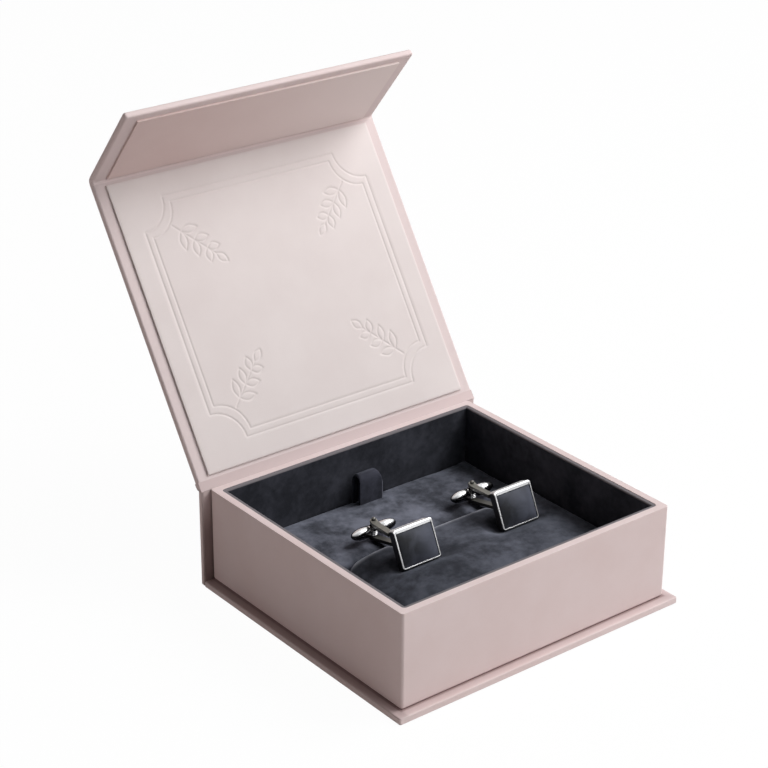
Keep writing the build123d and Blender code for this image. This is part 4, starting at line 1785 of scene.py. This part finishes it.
# --- cufflinks -------------------------------------------------------------------------------------
@dataclass
class Cufflink:
    """One cufflink: a leaning bezel with an inlay, two arms, a pin and a swivel toggle."""

    side: Side
    x: float
    face_y: float = -4.95
    face_z: float = 23.795
    lean: float = 25.0
    width: float = 15.2
    height: float = 12.8
    depth: float = 3.3
    frame_width: float = 0.65
    frame_top: float = 1.3
    back_inset: float = 0.5
    corner: float = 1.0
    inlay_depth: float = 1.9
    inlay_seat: float = 0.02
    inlay_sink: float = 0.35
    inlay_crown: float = 1.5
    dome_power: float = 0.7
    dome_cells: tuple[int, int] = (44, 36)
    rim_round: float = 0.4
    lip_round: float = 0.1
    back_round: float = 0.3
    pivot_y: float = 16.75
    pivot_z: float = 19.395
    eye_offset: float = 2.7
    eye_radius: float = 1.3
    arm_half: float = 0.6
    arm_width: float = 2.4
    arm_flat: float = 1.8
    arm_inset: float = 1.3
    arm_edge: float = 0.16
    toggle_half: float = 8.7
    toggle_radius: float = 1.9
    toggle_body: float = 2.4
    throat_half: float = 2.1
    nose_steps: int = 12
    tongue_width: float = 2.4
    tongue_z: Pair = (0.1, 1.4)
    tongue_eye: float = 1.5
    clearance: float = 0.12
    rim_steps: int = 6
    corner_steps: int = 5
    back_steps: int = 3
    arm_end_flat: float = 0.05
    toggle_edge: float = 0.25
    tongue_edge: float = 0.15
    eye_edge: float = 0.12
    foot_inset: float = 0.3
    foot_press: Pair = (0.15, 0.42)
    arm_press: Pair = (0.1, 0.6)
    pivot_press: Pair = (0.2, 0.3)
    pin_tail: float = 0.3

    @property
    def body(self) -> str:
        """The frame's name for the cufflink's body."""
        return f"cufflink_{self.side.value}"

    def node(self, part: str) -> str:
        """Gives the frame's name for one of the cufflink's nodes."""
        return f"{self.body}_{part}"

    def face(self) -> Matrix:
        """Gives the place of the face: its X to the right, its Y up it and its Z out of it."""
        centre = Matrix.Translation((self.x, self.face_y, self.face_z))
        return centre @ Matrix.Rotation(radians(90 - self.lean), 4, "X")

    def _seat(self, side: int) -> Vector:
        """Gives where an arm meets the bezel's back."""
        across, up = self.width / 2 - self.arm_inset, self.height / 2 - self.arm_inset
        return self.face() @ Vector((-side * across, side * up, -self.depth))

    def presses(self) -> list[Press]:
        """Gives what the cufflink presses into the front cushion: its foot and its lower arm.

        Returns:
            The presses.
        """
        foot = self.face() @ Vector((0, -self.height / 2, -self.depth))
        bar_z = foot.z - self.clearance
        half = self.width / 2 - self.foot_inset
        foot_bar = ((self.x - half, foot.y, bar_z), (self.x + half, foot.y, bar_z))
        seat = self._seat(-1)
        below = self.arm_half + self.clearance
        pivot = (self.x, self.pivot_y, self.pivot_z - self.eye_offset - below)
        arm_half, arm_slope = self.arm_width / 2 + self.arm_press[0], self.arm_press[1]
        return [
            Press(*foot_bar, *self.foot_press),
            Press(pivot, (seat.x, seat.y, seat.z - below), arm_half, arm_slope),
        ]

    def pivot_presses(self) -> list[Press]:
        """Gives what the cufflink presses into the rear pad: the eye under the pin.

        Returns:
            The presses.
        """
        low = self.pivot_z - self.eye_offset - self.arm_half - self.pin_tail - self.clearance
        spot, end = ((self.x, y, low) for y in (self.pivot_y, self.pivot_y + 0.01))
        return [Press(spot, end, self.eye_radius + self.pivot_press[0], self.pivot_press[1])]

    def build(self) -> None:
        """Builds the cufflink and dresses the nodes that stay."""
        self._bezel()
        self._inlay()
        self._toggle()
        self._arm("upper_arm", 1, FINISHES.brushed)
        # The lower arm and the pin wear the darker copy of the arm's plate, as painted shade.
        self._arm("lower_arm", -1, FINISHES.painted_shade_copy)
        dress_node(self.node("pivot_pin"), FINISHES.painted_shade_copy)
        dress_node(self.node("spring"), FINISHES.steel)

    def _bezel(self) -> None:
        """Builds the bezel: a rounded frame with a pocket in its face."""
        form = Form()
        form.block(
            (-self.width / 2, self.width / 2), (-self.height / 2, self.height / 2), (-self.depth, 0.0)
        )
        form.bevel(form.edges_along(2), self.corner, self.corner_steps)
        form.pocket(self.frame_width, self.inlay_depth, self.frame_top - self.frame_width)
        middle = ((self.width - self.frame_width) / 2, (self.height - self.frame_width) / 2)
        for outside, rounding in ((True, self.rim_round), (False, self.lip_round)):
            form.bevel(beyond(form.edges_at(2, 0.0), middle, outside), rounding, self.rim_steps)
        for vert in form.mesh.verts:
            if vert.co.z < -self.depth + TOUCH:
                vert.co.x *= 1 - 2 * self.back_inset / self.width
        form.bevel(form.edges_at(2, -self.depth), self.back_round, self.back_steps)
        form.turn(self.face())
        mesh = form.data(f"{self.body}_frame")
        show(mesh, FINISHES.frame, self.body, self.node("bezel"), crease=60.0, even=True)

    def _inlay(self) -> None:
        """Builds the domed inlay."""
        form = Form()
        half_x = self.width / 2 - self.frame_width
        half_y = (self.height - self.frame_width - self.frame_top) / 2
        form.grid(2 * half_x, 2 * half_y, *self.dome_cells)
        for vert in form.mesh.verts:
            u, v = vert.co.x / half_x, vert.co.y / half_y
            dome = max((1 - u * u) * (1 - v * v), 0.0) ** self.dome_power
            vert.co.z = -self.inlay_sink + self.inlay_crown * dome
        form.thicken(-self.inlay_depth + self.inlay_seat)
        form.turn(self.face() @ Matrix.Translation((0, (self.frame_width - self.frame_top) / 2, 0)))
        mesh = form.data(f"{self.body}_dome")
        show(mesh, FINISHES.inlay, self.body, self.node("inlay"), crease=50.0)

    def _arm(self, part: str, side: int, plate: Finish) -> None:
        """Builds an arm: a flat bar with a round end, bent to reach a corner of the bezel's back.

        Args:
            part: The arm's node.
            side: 1 for the upper arm, -1 for the lower one.
            plate: Its finish.
        """
        seat = self._seat(side)
        level = self.pivot_z + side * self.eye_offset
        run = Vector((seat.x - self.x, seat.y - self.pivot_y))
        reach = run.length
        past = 1 + self.depth / (reach - self.arm_flat)
        tip = (self.arm_flat + (reach - self.arm_flat) * past, level + (seat.z - level) * past)
        middle = [(-self.eye_radius, level), (self.arm_flat, level), tip]
        halves = (-self.arm_half, self.arm_half)
        lower, upper = ([(r, z + shift) for r, z in middle] for shift in halves)
        form = Form()
        form.slab_of(lower, upper, (-self.arm_width / 2, self.arm_width / 2))
        end = [edge for edge in form.edges_along(2) if edge.verts[0].co.y < 0]
        form.bevel(end, self.arm_width / 2 - self.arm_end_flat, self.rim_steps)
        form.bevel(form.steep_edges(), self.arm_edge)
        heading = Matrix.Rotation(-atan2(run.x, run.y), 4, "Z")
        form.turn(Matrix.Translation((self.x, self.pivot_y, 0)) @ heading)
        back = self.face() @ Vector((0, 0, -self.depth))
        out = self.face().to_3x3() @ Vector((0, 0, 1))
        everything = [*form.mesh.verts, *form.mesh.edges, *form.mesh.faces]
        cut = bmesh.ops.bisect_plane(
            form.mesh, geom=everything, plane_co=back, plane_no=out, clear_outer=True, dist=1e-5
        )
        rim = [item for item in cut["geom_cut"] if isinstance(item, BMEdge)]
        bmesh.ops.contextual_create(form.mesh, geom=rim)
        mesh = form.data(f"{self.body}_{part}_bar")
        show(mesh, plate, self.body, self.node(part), even=True)

    def _toggle(self) -> None:
        """Builds the toggle: two bullet halves on a tongue with an eye."""
        form = Form()
        throat, radius, edge = self.throat_half, self.toggle_radius, self.toggle_edge
        shoulder = throat + self.toggle_body
        angles = [pi / 2 * step / self.nose_steps for step in range(self.nose_steps)]
        length = self.toggle_half - shoulder
        nose = [(shoulder + length * sin(angle), radius * cos(angle)) for angle in angles]
        foot = [(throat, 0.0), (throat, radius - edge), (throat + edge, radius)]
        for side in (-1, 1):
            line = [(side * x, r) for x, r in (*foot, *nose, (self.toggle_half, 0.0))]
            form.lathe(line)
        side_y = self.tongue_width / 2
        half = throat + side_y
        tongue = form.block((-half, half), (-side_y, side_y), self.tongue_z)
        form.bevel(form.edges_along(0, tongue), self.tongue_edge)
        middle = sum(self.tongue_z) / 2
        eye = form.cylinder((0, 0, middle), self.tongue_eye, self.tongue_z[1] - self.tongue_z[0])
        ends = [edge for z in self.tongue_z for edge in form.edges_at(2, z, eye)]
        form.bevel(ends, self.eye_edge)
        form.turn(Matrix.Translation((self.x, self.pivot_y, self.pivot_z)))
        mesh = form.data(f"toggle_{self.side.value}_bar")
        show(mesh, FINISHES.chrome, f"toggle_{self.side.value}", self.node("toggle"), crease=50.0)


def dress_node(name: str, finish: Finish) -> None:
    """Gives a node that stays its finish.

    Args:
        name: The node's name.
        finish: The finish.
    """
    node, material = frame["nodes"][name], finish.material()
    if not node.material_slots:
        node.data.materials.append(material)
    for slot in node.material_slots:
        slot.material = material
    LOG.info("%s: kept node, %s", name, material.name)


# --- studio ----------------------------------------------------------------------------------------
@dataclass
class Lamp:
    """A soft square lamp that points at the box, in metres and watts."""

    name: str
    place: Triple
    size: float
    power: float
    colour: Triple = (1.0, 1.0, 1.0)

    def build(self, aim: Vector) -> None:
        """Hangs the lamp.

        Args:
            aim: The point that it shines on, in metres.
        """
        light = bpy.data.lights.new(self.name, "AREA")
        light.shape = "SQUARE"
        light.size = self.size
        light.energy = self.power
        light.color = self.colour
        holder = new_object(self.name, light)
        holder.location = self.place
        holder.rotation_euler = (aim - Vector(self.place)).to_track_quat("-Z", "Y").to_euler()


@dataclass
class Studio:
    """The camera, the lamps, the floor and the surroundings. The angles are degrees."""

    azimuth: float = -38.5255527
    elevation: float = 25.0728748
    roll: float = 0.3443463
    place: Triple = (-380.43, -450.88, 347.92)
    focal_share: float = 2179.3 / 768
    sensor: float = 36.0
    floor_size: float = 6.0
    floor_colour: Triple = (203, 198, 196)
    floor_keep: float = 0.975
    aim: Triple = (0.0, 0.0, 0.03)
    lamps: tuple[Lamp, ...] = (
        Lamp("key", (0.685, -0.25, 0.855), 0.6, 12.0),
        Lamp("front_fill", (0.267, -0.908, 0.511), 0.6, 3.9),
        Lamp("side_fill", (-1.034, 0.334, 0.197), 0.3, 1.5, (1.0, 0.86, 0.82)),
    )

    def build(self) -> None:
        """Sets the studio up."""
        self._camera()
        self._floor()
        self._world()
        for lamp in self.lamps:
            lamp.build(Vector(self.aim))
        bpy.context.scene.view_settings.view_transform = "Standard"

    def _camera(self) -> None:
        """Stands the camera at its viewing angle."""
        turn, tilt, roll = (radians(a) for a in (self.azimuth, self.elevation, self.roll))
        back = Vector((sin(turn) * cos(tilt), -cos(turn) * cos(tilt), sin(tilt)))
        right = Vector((0, 0, 1)).cross(back).normalized()
        up = back.cross(right)
        rolled_right = right * cos(roll) + up * sin(roll)
        rolled_up = up * cos(roll) - right * sin(roll)
        lens = bpy.data.cameras.new("camera")
        lens.sensor_fit = "HORIZONTAL"
        lens.sensor_width = self.sensor
        lens.lens = self.focal_share * self.sensor
        lens.clip_start = 0.05
        holder = new_object("camera", lens)
        axes = Matrix((rolled_right, rolled_up, back)).transposed().to_4x4()
        holder.matrix_world = Matrix.Translation(Vector(self.place) * MM) @ axes
        bpy.context.scene.camera = holder

    def _seen(self, graph: Graph) -> Value:
        """Gives 1 for rays from the camera, mirrors and glass.

        Args:
            graph: The material's or the world's node graph.

        Returns:
            The share.
        """
        rays = [
            graph.add("ShaderNodeLightPath", output=name)
            for name in ("Is Camera Ray", "Is Glossy Ray", "Is Transmission Ray")
        ]
        return graph.maths("MINIMUM", rays[0] + rays[1] + rays[2], 1.0)

    def _floor(self) -> None:
        """Lays the floor, which is white to the eye and keeps the box's shadow."""
        form = Form()
        side = self.floor_size / MM
        form.grid(side, side, 1, 1)
        mesh = form.data("floor", recalculate=False)
        floor = new_object("floor", mesh)
        material = bpy.data.materials.new("floor")
        material.use_nodes = True
        graph = Graph(material.node_tree)
        seen = self._seen(graph)
        colour = graph.blend(seen, linear(*self.floor_colour), WHITE)
        paint = graph.add("ShaderNodeBsdfDiffuse", None, {"Color": colour})
        glow = graph.add("ShaderNodeEmission", None, {"Color": WHITE, "Strength": 1.0})
        share = seen * self.floor_keep
        mixed = graph.add("ShaderNodeMixShader", None, {0: share, 1: paint, 2: glow})
        graph.add("ShaderNodeOutputMaterial", None, {"Surface": mixed})
        mesh.materials.append(material)

    def _world(self) -> None:
        """Makes the surroundings white to the eye, in mirrors and in glass, and dark as a light."""
        world = bpy.data.worlds.new("surroundings")
        world.use_nodes = True
        bpy.context.scene.world = world
        graph = Graph(world.node_tree)
        seen = self._seen(graph)
        sky = graph.add("ShaderNodeBackground", None, {"Color": WHITE, "Strength": seen})
        graph.add("ShaderNodeOutputWorld", None, {"Surface": sky})


def main() -> None:
    """Builds the dressed box."""
    logging.basicConfig(level=logging.INFO, format="%(name)s %(message)s")
    Studio().build()
    case = Case()
    case.build()
    LidCard(case).build()
    FlapCard(case).build()
    Tray().build()
    cufflinks = [Cufflink(side, CUFFLINK_FACE[side.value]) for side in Side]
    for cufflink in cufflinks:
        cufflink.build()
    Insert().build(cufflinks)
    for name in ("tray_floor", "insert_card"):
        dress_node(name, FINISHES.board)


if __name__ == "__main__":
    main()
